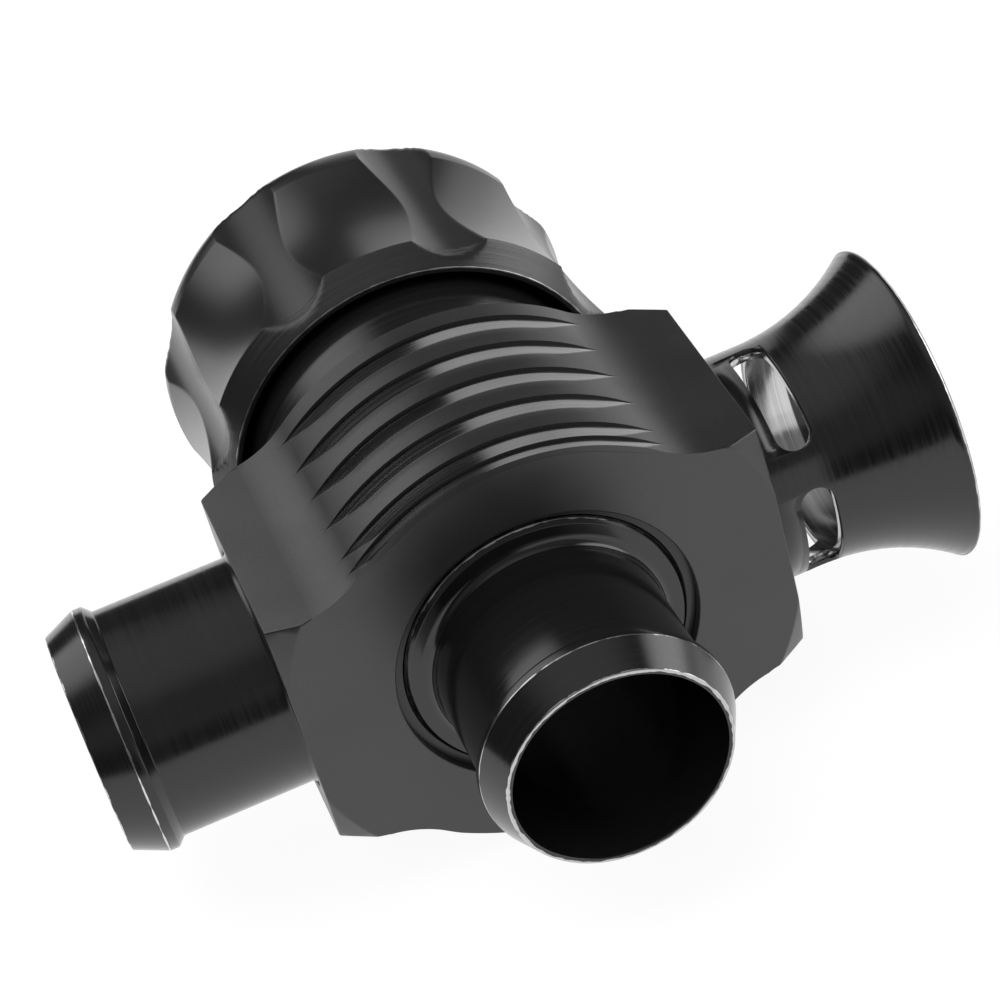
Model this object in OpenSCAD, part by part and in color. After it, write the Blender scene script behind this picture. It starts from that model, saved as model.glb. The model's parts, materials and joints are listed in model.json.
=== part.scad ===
// Blow off valve: a spring-loaded piston valve for a boosted intake, with one inlet and two outlets.
// The main axis is Y. The inlet hose goes on at -Y and the adjuster cap is at +Y.
// The outlets lie on the X axis: the recirculation barb at -X and the open vent trumpet at +X.
// The origin is at the centre of the inlet barb's bead.

/* [Hose barbs] */
// Outside diameter of the tube that a hose slides on
tube_d = 25; // [22:0.5:28]
// Wall thickness of the tube
tube_wall = 1.3; // [1:0.1:1.8]
// Height of the bead above the tube
bead_rise = 0.9; // [0.5:0.1:1.2]
// Length of the bead's cylindrical land
bead_land = 1.0; // [0.8:0.1:1.6]
// Length of the conical lead-in from the bead to the mouth
lead_len = 3.6; // [2.5:0.1:4.5]
// Wall left at the mouth of a barb
mouth_wall = 0.6; // [0.5:0.1:0.9]
// Distance from the body to the mouth of each barb
barb_reach = 20.2; // [16:0.2:26]

/* [Body] */
// Width of the body between its two side flats
body_w = 53.3; // [48:0.1:60]
// Metal left in front of and behind a side fitting's collar, which sets the body's length
collar_margin = 0.55; // [0.4:0.05:1.5]
// Metal left above and below a collar, which sets the height of the side flats
flat_margin = 1.35; // [1:0.05:2]
// Diameter of the round hump above and below
hump_d = 48.6; // [44:0.2:54]
// Angle round the hump at which the wings begin
wing_root = 45; // [43:0.5:47]
// How much higher a wing is at the hump than at its side flat
wing_rise = 1.7; // [1:0.1:2.2]
// Radius of the hollow between hump and wing
wing_fillet = 12; // [8:0.5:14]
// How far the turned bevel reaches in from the block's corners on its front and rear faces
bevel_in = 2.8; // [1.6:0.1:3.2]
// Length of the turned bevel along the main axis
bevel_len = 1.8; // [1:0.1:2.4]

/* [Cooling grooves] */
// Number of grooves across the hump
groove_count = 5; // [3:1:5]
// Distance between grooves
groove_pitch = 5.27; // [4.6:0.01:5.4]
// Length of a groove's sloping floor
groove_w = 2.6; // [2:0.1:3]
// Depth of a groove at its upright wall
groove_depth = 0.85; // [0.6:0.05:1]
// Width of the land behind the last groove
rear_land = 2.4; // [1.8:0.1:3]
// Length of the half groove at the front face
front_step = 1.6; // [1:0.1:2]
// How far a groove's pointed end lies out on the hollow beside the hump
groove_run_out = 1.4; // [1:0.1:1.7]

/* [Neck and cap] */
// Thickness of the wall between the chamber and the neck's thread
neck_wall = 3.6; // [3:0.1:4.2]
// Length of the plain neck up to its thread
neck_len = 13; // [11:0.5:16]
// Length of the neck's threaded end
thread_len = 8; // [6:0.5:10]
// Height of the thread, on the neck's side
thread_rise = 0.8; // [0.6:0.1:1]
// Distance from the body to the cap
cap_gap = 11.7; // [9:0.1:12]
// Length of the cap
cap_len = 27.6; // [25:0.2:32]
// How much slimmer the cap is than the hump, per side
cap_inset = 0.1; // [0:0.05:0.5]
// How much slimmer the cap's lower rim is than its grip edges, per side
cap_cone_in = 2.05; // [1.6:0.05:2.4]
// Thickness of the cap's wall at its lower rim
rim_wall = 0.65; // [0.5:0.05:1]
// Length of the cone between the cap's rim and its lower grip edge
cap_cone = 3; // [2:0.1:4]
// How much slimmer the cap's waist is than its grip edges, per side
waist_depth = 1.1; // [0.8:0.05:1.3]
// Radius of the crown's round edge
crown_r = 4.4; // [3:0.1:5]
// Thickness of the cap's end wall
cap_wall = 3.4; // [3:0.1:4]
// Number of grip flutes round the cap
flute_count = 8; // [6:1:10]
// Radius of a flute
flute_r = 9.2; // [7:0.1:11]
// Depth of a flute below the grip edges
flute_depth = 1.45; // [1.2:0.05:1.6]

/* [Inlet fitting] */
// Width of the retaining ring's land between the boss and the counterbore
clip_land = 1.1; // [0.9:0.05:1.4]
// Depth of the counterbore
inlet_bore_depth = 3.8; // [3.4:0.1:4]
// Thickness of the flange's lower disc
disc_t = 1.7; // [1.5:0.1:1.9]
// How far the raised boss on the flange stands out from the tube
boss_step = 2.8; // [2.2:0.1:3]
// How far the boss lies below the front face
boss_sink = 0.3; // [0.2:0.1:0.6]
// Chamfer round the boss
boss_chamfer = 0.5; // [0.3:0.1:0.7]
// Thickness of the retaining ring
clip_t = 1.0; // [0.8:0.1:1.2]
// How far the retaining ring goes into its groove
clip_bite = 0.8; // [0.6:0.1:1]
// Width of the gap in the retaining ring
clip_gap = 6; // [4:0.5:8]
// Fillet between a fitting's flange and its tube
root_fillet = 1.2; // [0.8:0.1:1.6]

/* [Side fittings] */
// How far the collar on a side fitting stands out from the tube
collar_step = 0.75; // [0.5:0.05:0.9]
// Thickness of the collar
collar_t = 2.6; // [2:0.1:3]
// How much slimmer the threaded spigot is than the tube, per side
spigot_step = 0.4; // [0.3:0.05:0.6]
// Metal left inside a side fitting's seal, which sets the spigot's length
spigot_web = 0.65; // [0.5:0.05:1]
// How much narrower the passage to the chamber is than the tube's bore, per side
passage_step = 2.4; // [2:0.1:3]

/* [Vent trumpet] */
// How much wider the trumpet is at its rim than at its base, per side
flare_rise = 5; // [3.5:0.1:6.5]
// Distance from the body to the trumpet's rim
trumpet_reach = 20.2; // [18:0.2:24]
// Length of the trumpet's plain base
trumpet_base = 5; // [4:0.2:6]
// Thickness of the trumpet's rounded lip
lip_t = 1.3; // [1:0.1:1.6]
// Number of slots round the base
slot_count = 4; // [3:1:5]
// Width of a slot along the trumpet
slot_w = 3.9; // [3.4:0.1:4.2]
// Angle that a slot spans between its round ends
slot_angle = 52; // [30:1:56]
// Distance from the body to the middle of the slots
slot_from_body = 4.6; // [4.2:0.1:5.4]
// Angle of the first slot from the main axis
slot_start = 196; // [180:1:220]

/* [Piston and spring] */
// Length of the piston
piston_len = 25; // [23:0.5:27]
// Wall thickness of the piston's skirt
piston_wall = 2.6; // [2.2:0.1:3]
// Thickness of the piston's face
piston_floor = 3; // [2.6:0.1:3.4]
// How far the piston lifts off its seat
piston_lift = 10; // [8:0.5:11]
// Width of a piston ring
ring_w = 2; // [1.6:0.1:2.4]
// Depth of a piston ring's groove
ring_depth = 1.4; // [1.2:0.1:1.6]
// Wire thickness of the spring
spring_wire = 1.8; // [1.6:0.1:2.2]
// Room between the spring and the piston's skirt
spring_room = 2.25; // [1.5:0.05:3]
// Number of turns of the spring
spring_turns = 8; // [6:0.5:9]
// Thickness of the spring's seat
seat_t = 2; // [1.6:0.1:2.4]

/* [Vacuum nipple] */
// Outside diameter of the nipple's hose stem
stem_d = 6; // [5:0.1:7]
// Diameter of the nipple's passage
stem_bore_d = 3; // [2.4:0.1:3.4]
// Length of the nipple above its hexagon
stem_len = 14; // [11:0.5:16]
// Width of the hexagon across its flats
hex_w = 12; // [11:0.1:13]
// Height of the hexagon
hex_h = 5; // [4:0.1:6]
// Diameter of the nipple's threaded end
nipple_thread_d = 9.6; // [9:0.1:10]

/* [Fits] */
// Gap between pieces that slide or turn in one another, per side
running_gap = 0.05; // [0.04:0.01:0.08]
// Gap round a piece that is set in a recess, per side
seat_gap = 0.1; // [0.06:0.01:0.15]
// Gap round the neck at the cap's mouth, per side
neck_gap = 1.3; // [1:0.1:1.4]
// Thickness of the sealing rings on the side fittings, the cap and the piston
seal_t = 1.5; // [1.2:0.1:1.6]
// Thickness of the sealing ring under the inlet's flange
flange_seal_t = 1; // [0.8:0.1:1.1]

/* [Hidden] */
$fn = 96;
overcut = 1;

tube_r = tube_d / 2;
tube_in_r = tube_r - tube_wall;
bead_r = tube_r + bead_rise;
mouth_r = tube_in_r + mouth_wall;

// The fittings' steps from the tube
boss_r = tube_r + boss_step;
inlet_bore_r = boss_r + clip_land;
clip_groove_r = inlet_bore_r + clip_bite;
collar_r = tube_r + collar_step;
spigot_r = tube_r - spigot_step;
passage_r = tube_in_r - passage_step;

// Places along the main axis
body_len = 2 * (collar_r + collar_margin);
mouth_y = -lead_len - bead_land / 2;
face_y = mouth_y + barb_reach;
rear_y = face_y + body_len;
port_y = face_y + body_len / 2;
side_x = body_w / 2;

// The body's outline
hump_r = hump_d / 2;
side_z = collar_r + flat_margin;
hump_half_w = hump_r * sin(wing_root);
wing_z = side_z + wing_rise;
wing_angle = atan2(wing_rise, side_x - hump_half_w);
wing_normal = [sin(wing_angle), cos(wing_angle)];
wing_along = [cos(wing_angle), -sin(wing_angle)];
wing_reach = hump_half_w * wing_normal[0] + wing_z * wing_normal[1];
// The hollow bites a hair into the hump, so that the two arcs cross cleanly.
fillet_bite = 0.04;
fillet_reach = hump_r + wing_fillet - fillet_bite;
fillet_run = sqrt(pow(fillet_reach, 2) - pow(wing_reach + wing_fillet, 2));
fillet_centre = (wing_reach + wing_fillet) * wing_normal + fillet_run * wing_along;
fillet_foot = fillet_centre - wing_fillet * wing_normal;
block_r = norm([side_x, side_z]);
bevel_r = block_r - bevel_in;
bevel_slope = bevel_len / bevel_in;

// The grooves run round the main axis and leave the hump on straight lines, to points on the hollows.
hump_edge_x = fillet_centre[0] * hump_r / fillet_reach;
groove_half_w = hump_edge_x + groove_run_out;
groove_tip_z = fillet_centre[1] - sqrt(pow(wing_fillet, 2) - pow(fillet_centre[0] - groove_half_w, 2));
groove_tip_r = norm([groove_half_w, groove_tip_z]);
groove_r = hump_r - groove_depth;
groove_clear = 0.5;
// The straight run-outs lie a hair below the round floor, so that the two cross cleanly.
lead_out_sink = 0.06;
lead_out_set = 0.03;
lead_out_lap = 3;
lead_out_r = groove_r - lead_out_sink;
lead_out_angle = atan2(groove_half_w, groove_tip_z) - acos(lead_out_r / groove_tip_r);
lead_out_len = sqrt(pow(groove_tip_r, 2) - pow(lead_out_r, 2)) + groove_clear;

// The cap, and from it the neck and the chamber inside
cap_r = hump_r - cap_inset;
cap_rim_r = cap_r - cap_cone_in;
cap_mouth_r = cap_rim_r - rim_wall;
neck_r = cap_mouth_r - neck_gap;
thread_r = neck_r - thread_rise;
chamber_r = thread_r - neck_wall;
neck_y = rear_y + neck_len;
neck_end_y = neck_y + thread_len;
cap_y = rear_y + cap_gap;
cap_end_y = cap_y + cap_len;
cap_ceiling_y = cap_end_y - cap_wall;
cap_thread_r = thread_r + running_gap;
cap_mouth_len = 4;
grip_low = cap_cone;
crown_land = 1;
grip_high = cap_len - crown_r - crown_land;
waist_half = (grip_high - grip_low) / 2;
waist_r = (pow(waist_half, 2) + pow(waist_depth, 2)) / (2 * waist_depth);
cavity_step = 2;
cavity_r = cap_thread_r - cavity_step;
thread_room = 14;
cap_groove_room = 0.3;
cap_groove_w = seal_t + cap_groove_room;
cap_groove_land = 0.8;
cap_groove_y = neck_end_y - cap_groove_land - cap_groove_w;

// The inlet's recess and the seat behind it
shelf_t = 1;
shelf_y = face_y + inlet_bore_depth;
chamber_y = shelf_y + shelf_t;
disc_y = shelf_y - disc_t;
clip_y = disc_y - clip_t;
throat_step = 1.6;
flange_land = 2.2;
throat_r = min(chamber_r - throat_step, inlet_bore_r - flange_land);
inlet_spigot_r = throat_r - seat_gap;
seat_rise = 1;
seat_y = chamber_y + seat_rise;
flange_seal_r = flange_seal_t / 2;
inlet_seal_r = (inlet_spigot_r + inlet_bore_r) / 2;
seal_r = seal_t / 2;

// The side fittings
collar_x = side_x - collar_t - boss_sink;
spigot_x = max(clip_groove_r, chamber_r) + spigot_web + seal_t;

// The trumpet's flare
lip_r = lip_t / 2;
flare_run = trumpet_reach - lip_r - trumpet_base;
flare_r = (pow(flare_run, 2) + pow(flare_rise, 2)) / (2 * flare_rise);

// The piston at rest on its seat
piston_r = chamber_r - running_gap;
piston_y = seat_y;
piston_in_r = piston_r - piston_wall;
face_seal_r = inlet_spigot_r;
face_seal_w = 4.4;
face_seal_in_r = face_seal_r - face_seal_w;
ring_land = 2;
upper_ring_y = piston_y + piston_len - ring_land - ring_w;
lower_ring_y = upper_ring_y - ring_land - ring_w;
ring_in_r = piston_r - ring_depth;
ring_r = chamber_r - running_gap / 2;

// The spring and its seats
washer_t = 0.8;
wire_r = spring_wire / 2;
spring_r = piston_in_r - spring_room - wire_r;
spring_out_r = spring_r + spring_wire;
seat_y_low = cap_ceiling_y - washer_t - seat_t;
spring_y = piston_y + piston_floor;
spring_len = seat_y_low - spring_y;
spring_sides = 8;
spring_steps = 22;
// The spring seat's guide is also the stop for the lifted piston, with room for the cap to be turned in.
turn_in_room = 2;
guide_wall = 2;
guide_r = spring_r - wire_r - 4 * seat_gap;
seat_guide_len = spring_len - piston_lift - turn_in_room;

// The nipple
stem_r = stem_d / 2;
stem_bead_rise = 0.6;
stem_bead_r = stem_r + stem_bead_rise;
stem_bead_land = 1;
stem_lead_len = 2.4;
nipple_thread_r = nipple_thread_d / 2;
nipple_y = cap_end_y + seal_t;

module along_main(y) {
    translate([0, y, 0]) rotate([-90, 0, 0]) children();
}

module towards_front(y) {
    translate([0, y, 0]) rotate([90, 0, 0]) children();
}

// A sign of 1 is the vent's side and -1 the recirculation side.
module out_of_side(sign, x) {
    translate([sign * x, port_y, 0]) rotate([0, sign * 90, 0]) children();
}

// A ring of round section, with its middle plane at z = 0
module sealing_ring(middle_r, section_r) {
    rotate_extrude() translate([middle_r, 0]) circle(section_r, $fn = 32);
}

module ring(r_out, r_in, h) {
    difference() {
        cylinder(h = h, r = r_out);
        translate([0, 0, -overcut]) cylinder(h = h + 2 * overcut, r = r_in);
    }
}

// Outline of the hose end of a barb from the given height, with its bead near the mouth
module barb_tube(start, reach) {
    land_top = reach - lead_len;
    land_low = land_top - bead_land;
    rotate_extrude() difference() {
        union() {
            translate([0, start]) square([tube_r, land_low - start]);
            polygon([
                [0, land_low - bead_rise], [tube_r, land_low - bead_rise], [bead_r, land_low],
                [bead_r, land_top], [mouth_r, reach], [0, reach]
            ]);
        }
        translate([-overcut, start - overcut])
            square([tube_in_r + overcut, reach - start + 2 * overcut]);
    }
}

// A concave fillet between a flat at z = 0 and the tube above it
module root(r) {
    rotate_extrude() difference() {
        translate([tube_r - tube_wall / 2, 0]) square([r + tube_wall / 2, r]);
        translate([tube_r + r, r]) circle(r);
    }
}

// The hump, the wings and the hollows between them, as seen along the main axis
module body_outline() {
    circle(hump_r);
    polygon([
        [side_x, -side_z], [side_x, side_z], [hump_half_w, wing_z], [-hump_half_w, wing_z],
        [-side_x, side_z], [-side_x, -side_z], [-hump_half_w, -wing_z], [hump_half_w, -wing_z]
    ]);
    for (sx = [-1, 1], sz = [-1, 1])
        mirror_to(sx, sz) difference() {
            polygon([[0, 0], fillet_centre, fillet_foot]);
            translate(fillet_centre) circle(wing_fillet);
        }
}

module mirror_to(sx, sz) {
    mirror([sx < 0 ? 1 : 0, 0]) mirror([0, sz < 0 ? 1 : 0]) children();
}

// The block's corners are turned to a bevel at both ends.
module corner_envelope() {
    bevel_out_r = block_r + overcut;
    bevel_run = bevel_slope * (bevel_out_r - bevel_r);
    along_main(face_y) rotate_extrude() polygon([
        [0, 0], [bevel_r, 0], [bevel_out_r, bevel_run],
        [bevel_out_r, body_len - bevel_run], [bevel_r, body_len], [0, body_len]
    ]);
}

// A cut round the hump with a straight run-out at both ends.
// The outline's x is the height above the groove's floor and its y lies along the main axis.
module cut_round_hump() {
    sector_r = 2 * block_r;
    sector_edge = sector_r * [sin(lead_out_angle), cos(lead_out_angle)];
    intersection() {
        along_main(0) rotate_extrude() translate([groove_r, 0]) children();
        translate([0, rear_y, 0]) rotate([90, 0, 0]) linear_extrude(body_len + overcut)
            polygon([[0, 0], sector_edge, [-sector_edge[0], sector_edge[1]]]);
    }
    for (side = [0, 1])
        mirror([side, 0, 0]) rotate([0, -lead_out_angle, 0]) translate([lead_out_lap, lead_out_set, lead_out_r])
            rotate([0, -90, 0]) linear_extrude(lead_out_lap + lead_out_len) children();
}

// Each groove has an upright wall behind and a floor that slopes up to the land in front.
module groove_cuts() {
    cut_h = groove_depth + overcut;
    for (side = [0, 1])
        mirror([0, 0, side]) {
            for (i = [0 : groove_count - 1])
                cut_round_hump() translate([0, rear_y - rear_land - i * groove_pitch])
                    polygon([[0, 0], [cut_h, 0], [cut_h, -cut_h * groove_w / groove_depth]]);
            cut_round_hump() translate([0, face_y - overcut]) square([cut_h, front_step + overcut]);
        }
}

module valve_body() {
    color([0.09, 0.09, 0.10]) difference() {
        union() {
            difference() {
                intersection() {
                    translate([0, rear_y, 0]) rotate([90, 0, 0]) linear_extrude(body_len) body_outline();
                    corner_envelope();
                }
                groove_cuts();
            }
            along_main(rear_y - overcut) cylinder(h = neck_len + overcut, r = neck_r);
            along_main(neck_y - overcut) cylinder(h = thread_len + overcut, r = thread_r);
        }
        along_main(chamber_y) cylinder(h = neck_end_y - chamber_y + overcut, r = chamber_r);
        along_main(face_y) cylinder(h = chamber_y - face_y + overcut, r = throat_r);
        along_main(face_y - overcut) cylinder(h = inlet_bore_depth + overcut, r = inlet_bore_r);
        along_main(clip_y) cylinder(h = clip_t, r = clip_groove_r);
        along_main(cap_groove_y) ring(thread_r + overcut, thread_r - seal_t, cap_groove_w);
        for (sign = [-1, 1]) {
            out_of_side(sign, 0) cylinder(h = side_x, r = passage_r);
            out_of_side(sign, spigot_x - seal_t)
                cylinder(h = collar_x - spigot_x + seal_t + overcut, r = spigot_r + seat_gap);
            out_of_side(sign, collar_x) cylinder(h = side_x - collar_x + overcut, r = collar_r + seat_gap);
        }
    }
}

module inlet_barb() {
    flange_y = face_y + boss_sink;
    disc_r = inlet_bore_r - seat_gap;
    color([0.07, 0.07, 0.08]) difference() {
        union() {
            along_main(flange_y) rotate_extrude() polygon([
                [0, 0], [boss_r - boss_chamfer, 0], [boss_r, boss_chamfer], [boss_r, disc_y - flange_y],
                [disc_r, disc_y - flange_y], [disc_r, shelf_y - flange_y],
                [inlet_spigot_r, shelf_y - flange_y], [inlet_spigot_r, seat_y - flange_y],
                [0, seat_y - flange_y]
            ]);
            towards_front(flange_y) root(root_fillet);
            towards_front(face_y) barb_tube(-boss_sink - overcut, barb_reach);
        }
        along_main(mouth_y - overcut) cylinder(h = seat_y - mouth_y + 2 * overcut, r = tube_in_r);
        along_main(shelf_y - flange_seal_t)
            ring(inlet_seal_r + flange_seal_r, inlet_seal_r - flange_seal_r, flange_seal_t + overcut);
    }
}

module inlet_seal() {
    color([0.03, 0.03, 0.03]) along_main(shelf_y - flange_seal_r) sealing_ring(inlet_seal_r, flange_seal_r);
}

module inlet_retaining_ring() {
    color([0.12, 0.12, 0.13]) difference() {
        along_main(clip_y) ring(clip_groove_r - seat_gap, boss_r + seat_gap, clip_t);
        translate([-clip_gap / 2, clip_y - overcut, -clip_groove_r - overcut])
            cube([clip_gap, clip_t + 2 * overcut, clip_groove_r]);
    }
}

// The collar and the spigot that both side fittings share
module side_fitting_base() {
    collar_top = side_x - boss_sink - spigot_x;
    cylinder(h = collar_top, r = spigot_r);
    translate([0, 0, collar_top - collar_t]) cylinder(h = collar_t, r = collar_r);
    translate([0, 0, collar_top]) root(collar_r - tube_r);
}

// The ring that a side fitting's spigot presses on its shoulder in the body
module side_seal(sign) {
    out_of_side(sign, spigot_x - seal_r) sealing_ring(spigot_r - seal_r, seal_r);
}

module recirculation_barb() {
    color([0.07, 0.07, 0.08]) out_of_side(-1, spigot_x) difference() {
        union() {
            side_fitting_base();
            translate([0, 0, side_x - spigot_x]) barb_tube(-boss_sink - overcut, barb_reach);
        }
        translate([0, 0, -overcut])
            cylinder(h = side_x + barb_reach - spigot_x + 2 * overcut, r = tube_in_r);
    }
}

module recirculation_seal() {
    color([0.03, 0.03, 0.03]) side_seal(-1);
}

// Outline of the trumpet, taken in by the given wall: a plain base and a flare of one round arc
module flare_outline(inset, top) {
    difference() {
        polygon([
            [0, -overcut], [tube_r - inset, -overcut], [tube_r - inset, trumpet_base],
            [tube_r + flare_rise, trumpet_base], [tube_r + flare_rise, top], [0, top]
        ]);
        translate([tube_r + flare_r, trumpet_base]) circle(flare_r + inset, $fn = 180);
    }
}

module trumpet_wall() {
    rim_z = trumpet_base + flare_run;
    difference() {
        union() {
            rotate_extrude() flare_outline(0, rim_z);
            translate([0, 0, rim_z]) sealing_ring(tube_r + flare_rise - lip_r, lip_r);
        }
        translate([0, 0, -overcut]) cylinder(h = trumpet_base + overcut, r = tube_in_r);
        rotate_extrude() flare_outline(tube_wall, rim_z + lip_r + overcut);
    }
}

// One slot with round ends, cut through the base
module trumpet_slot() {
    depth = 4 * tube_wall;
    rotate([0, 0, -slot_angle / 2]) rotate_extrude(angle = slot_angle)
        translate([tube_r - depth / 2, -slot_w / 2]) square([depth, slot_w]);
    for (side = [-1, 1])
        rotate([0, 0, side * slot_angle / 2]) translate([tube_r - depth / 2, 0, 0]) rotate([0, 90, 0])
            cylinder(h = depth, r = slot_w / 2);
}

module vent_trumpet() {
    color([0.07, 0.07, 0.08]) out_of_side(1, spigot_x) difference() {
        union() {
            difference() {
                side_fitting_base();
                translate([0, 0, -overcut])
                    cylinder(h = side_x - spigot_x + root_fillet + 2 * overcut, r = tube_in_r);
            }
            translate([0, 0, side_x - spigot_x]) trumpet_wall();
        }
        translate([0, 0, side_x - spigot_x + slot_from_body]) for (i = [0 : slot_count - 1])
            rotate([0, 0, slot_start + i * 360 / slot_count]) trumpet_slot();
    }
}

module vent_seal() {
    color([0.03, 0.03, 0.03]) side_seal(1);
}

module piston() {
    color([0.62, 0.63, 0.65]) difference() {
        along_main(piston_y) cylinder(h = piston_len, r = piston_r);
        along_main(piston_y + piston_floor) cylinder(h = piston_len, r = piston_in_r);
        for (y = [lower_ring_y, upper_ring_y])
            along_main(y) ring(piston_r + overcut, ring_in_r, ring_w);
        along_main(piston_y - overcut) ring(face_seal_r, face_seal_in_r, overcut + seal_t);
    }
}

module piston_ring(y) {
    along_main(y) ring(ring_r, ring_in_r + running_gap, ring_w);
}

module piston_upper_ring() {
    color([0.88, 0.87, 0.82]) piston_ring(upper_ring_y);
}

module piston_lower_ring() {
    color([0.88, 0.87, 0.82]) piston_ring(lower_ring_y);
}

module piston_face_seal() {
    color([0.05, 0.05, 0.05]) along_main(piston_y) ring(face_seal_r, face_seal_in_r, seal_t);
}

// A round wire swept along a helix, with both ends closed
module helix(mean_r, wire_r, length, turns, sides, steps) {
    last = ceil(turns * steps);
    points = [for (i = [0 : last], k = [0 : sides - 1])
        let (
            turn = 360 * turns * i / last,
            part = 360 * k / sides,
            r = mean_r + wire_r * cos(part)
        )
        [r * cos(turn), r * sin(turn), wire_r + (length - 2 * wire_r) * i / last + wire_r * sin(part)]
    ];
    walls = [for (i = [0 : last - 1], k = [0 : sides - 1])
        let (n = (k + 1) % sides)
        [i * sides + k, (i + 1) * sides + k, (i + 1) * sides + n, i * sides + n]
    ];
    low_end = [for (k = [0 : sides - 1]) k];
    high_end = [for (k = [sides - 1 : -1 : 0]) last * sides + k];
    polyhedron(points = points, faces = concat([low_end], walls, [high_end]), convexity = 10);
}

module return_spring() {
    color([0.55, 0.56, 0.58]) along_main(spring_y)
        helix(spring_r, wire_r, spring_len, spring_turns, spring_sides, spring_steps);
}

module spring_seat() {
    color([0.45, 0.46, 0.48]) difference() {
        union() {
            along_main(seat_y_low) cylinder(h = seat_t, r = spring_out_r);
            towards_front(seat_y_low) cylinder(h = seat_guide_len, r = guide_r);
        }
        along_main(seat_y_low - seat_guide_len - overcut)
            cylinder(h = seat_guide_len + seat_t + 2 * overcut, r = guide_r - guide_wall);
    }
}

module cap_seal() {
    color([0.03, 0.03, 0.03]) along_main(cap_groove_y + cap_groove_w / 2)
        sealing_ring(thread_r - seal_r, seal_r - running_gap / 2);
}

// Turned outline of the cap, before its flutes are cut
module cap_outline() {
    waist_y = (grip_low + grip_high) / 2;
    difference() {
        union() {
            polygon([
                [0, 0], [cap_rim_r, 0], [cap_r, cap_cone], [cap_r, cap_len - crown_r],
                [cap_r - crown_r, cap_len - crown_r], [cap_r - crown_r, cap_len], [0, cap_len]
            ]);
            translate([cap_r - crown_r, cap_len - crown_r]) circle(crown_r);
        }
        translate([cap_r - waist_depth + waist_r, waist_y]) circle(waist_r, $fn = 360);
    }
}

module adjuster_cap() {
    color([0.08, 0.08, 0.09]) difference() {
        along_main(cap_y) rotate_extrude() cap_outline();
        for (i = [0 : flute_count - 1])
            rotate([0, -(i + 0.5) * 360 / flute_count, 0])
                translate([cap_r - flute_depth + flute_r, 0, 0])
                    along_main(cap_y - overcut) cylinder(h = cap_len + 2 * overcut, r = flute_r);
        along_main(cap_y - overcut) cylinder(h = cap_mouth_len + overcut, r = cap_mouth_r);
        along_main(cap_y) cylinder(h = thread_room, r = cap_thread_r);
        along_main(cap_y) cylinder(h = cap_ceiling_y - cap_y, r = cavity_r);
        along_main(cap_y) cylinder(h = cap_len + overcut, r = nipple_thread_r + running_gap);
    }
}

module thrust_washer() {
    color([0.7, 0.7, 0.66]) along_main(cap_ceiling_y - washer_t)
        ring(spring_out_r, nipple_thread_r + seat_gap, washer_t);
}

module vacuum_nipple() {
    land_low = hex_h + stem_len - stem_lead_len - stem_bead_land;
    color([0.07, 0.07, 0.08]) along_main(nipple_y) difference() {
        union() {
            translate([0, 0, -seal_t - cap_wall]) cylinder(h = seal_t + cap_wall, r = nipple_thread_r);
            cylinder(h = hex_h, d = hex_w / cos(30), $fn = 6);
            translate([0, 0, hex_h]) cylinder(h = land_low - hex_h, r = stem_r);
            translate([0, 0, land_low - stem_bead_rise])
                cylinder(h = stem_bead_rise, r1 = stem_r, r2 = stem_bead_r);
            translate([0, 0, land_low]) cylinder(h = stem_bead_land, r = stem_bead_r);
            translate([0, 0, land_low + stem_bead_land])
                cylinder(h = stem_lead_len, r1 = stem_bead_r, r2 = stem_r - stem_bead_rise);
        }
        translate([0, 0, -seal_t - cap_wall - overcut])
            cylinder(h = cap_wall + seal_t + hex_h + stem_len + 2 * overcut, r = stem_bore_d / 2);
    }
}

module nipple_seal() {
    color([0.55, 0.35, 0.2]) along_main(cap_end_y)
        ring(hex_w / 2, nipple_thread_r + running_gap, seal_t);
}

valve_body();
inlet_barb();
inlet_seal();
inlet_retaining_ring();
recirculation_barb();
recirculation_seal();
vent_trumpet();
vent_seal();
piston();
piston_upper_ring();
piston_lower_ring();
piston_face_seal();
return_spring();
spring_seat();
cap_seal();
adjuster_cap();
thrust_washer();
vacuum_nipple();
nipple_seal();
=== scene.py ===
# %% [markdown]
# # A blow off valve in black anodised aluminium
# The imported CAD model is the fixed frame. Every looks piece below sits on it, in metres: Y is the
# main axis from the inlet to the cap, X the side axis from the recirculation barb to the vent
# trumpet, and Z comes out of the grooved face. Sizes of pieces are written in mm, and MM turns
# them into metres.

# %% Load the frame
import json
import math

import bmesh
import bpy
from mathutils import Matrix, Vector

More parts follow.
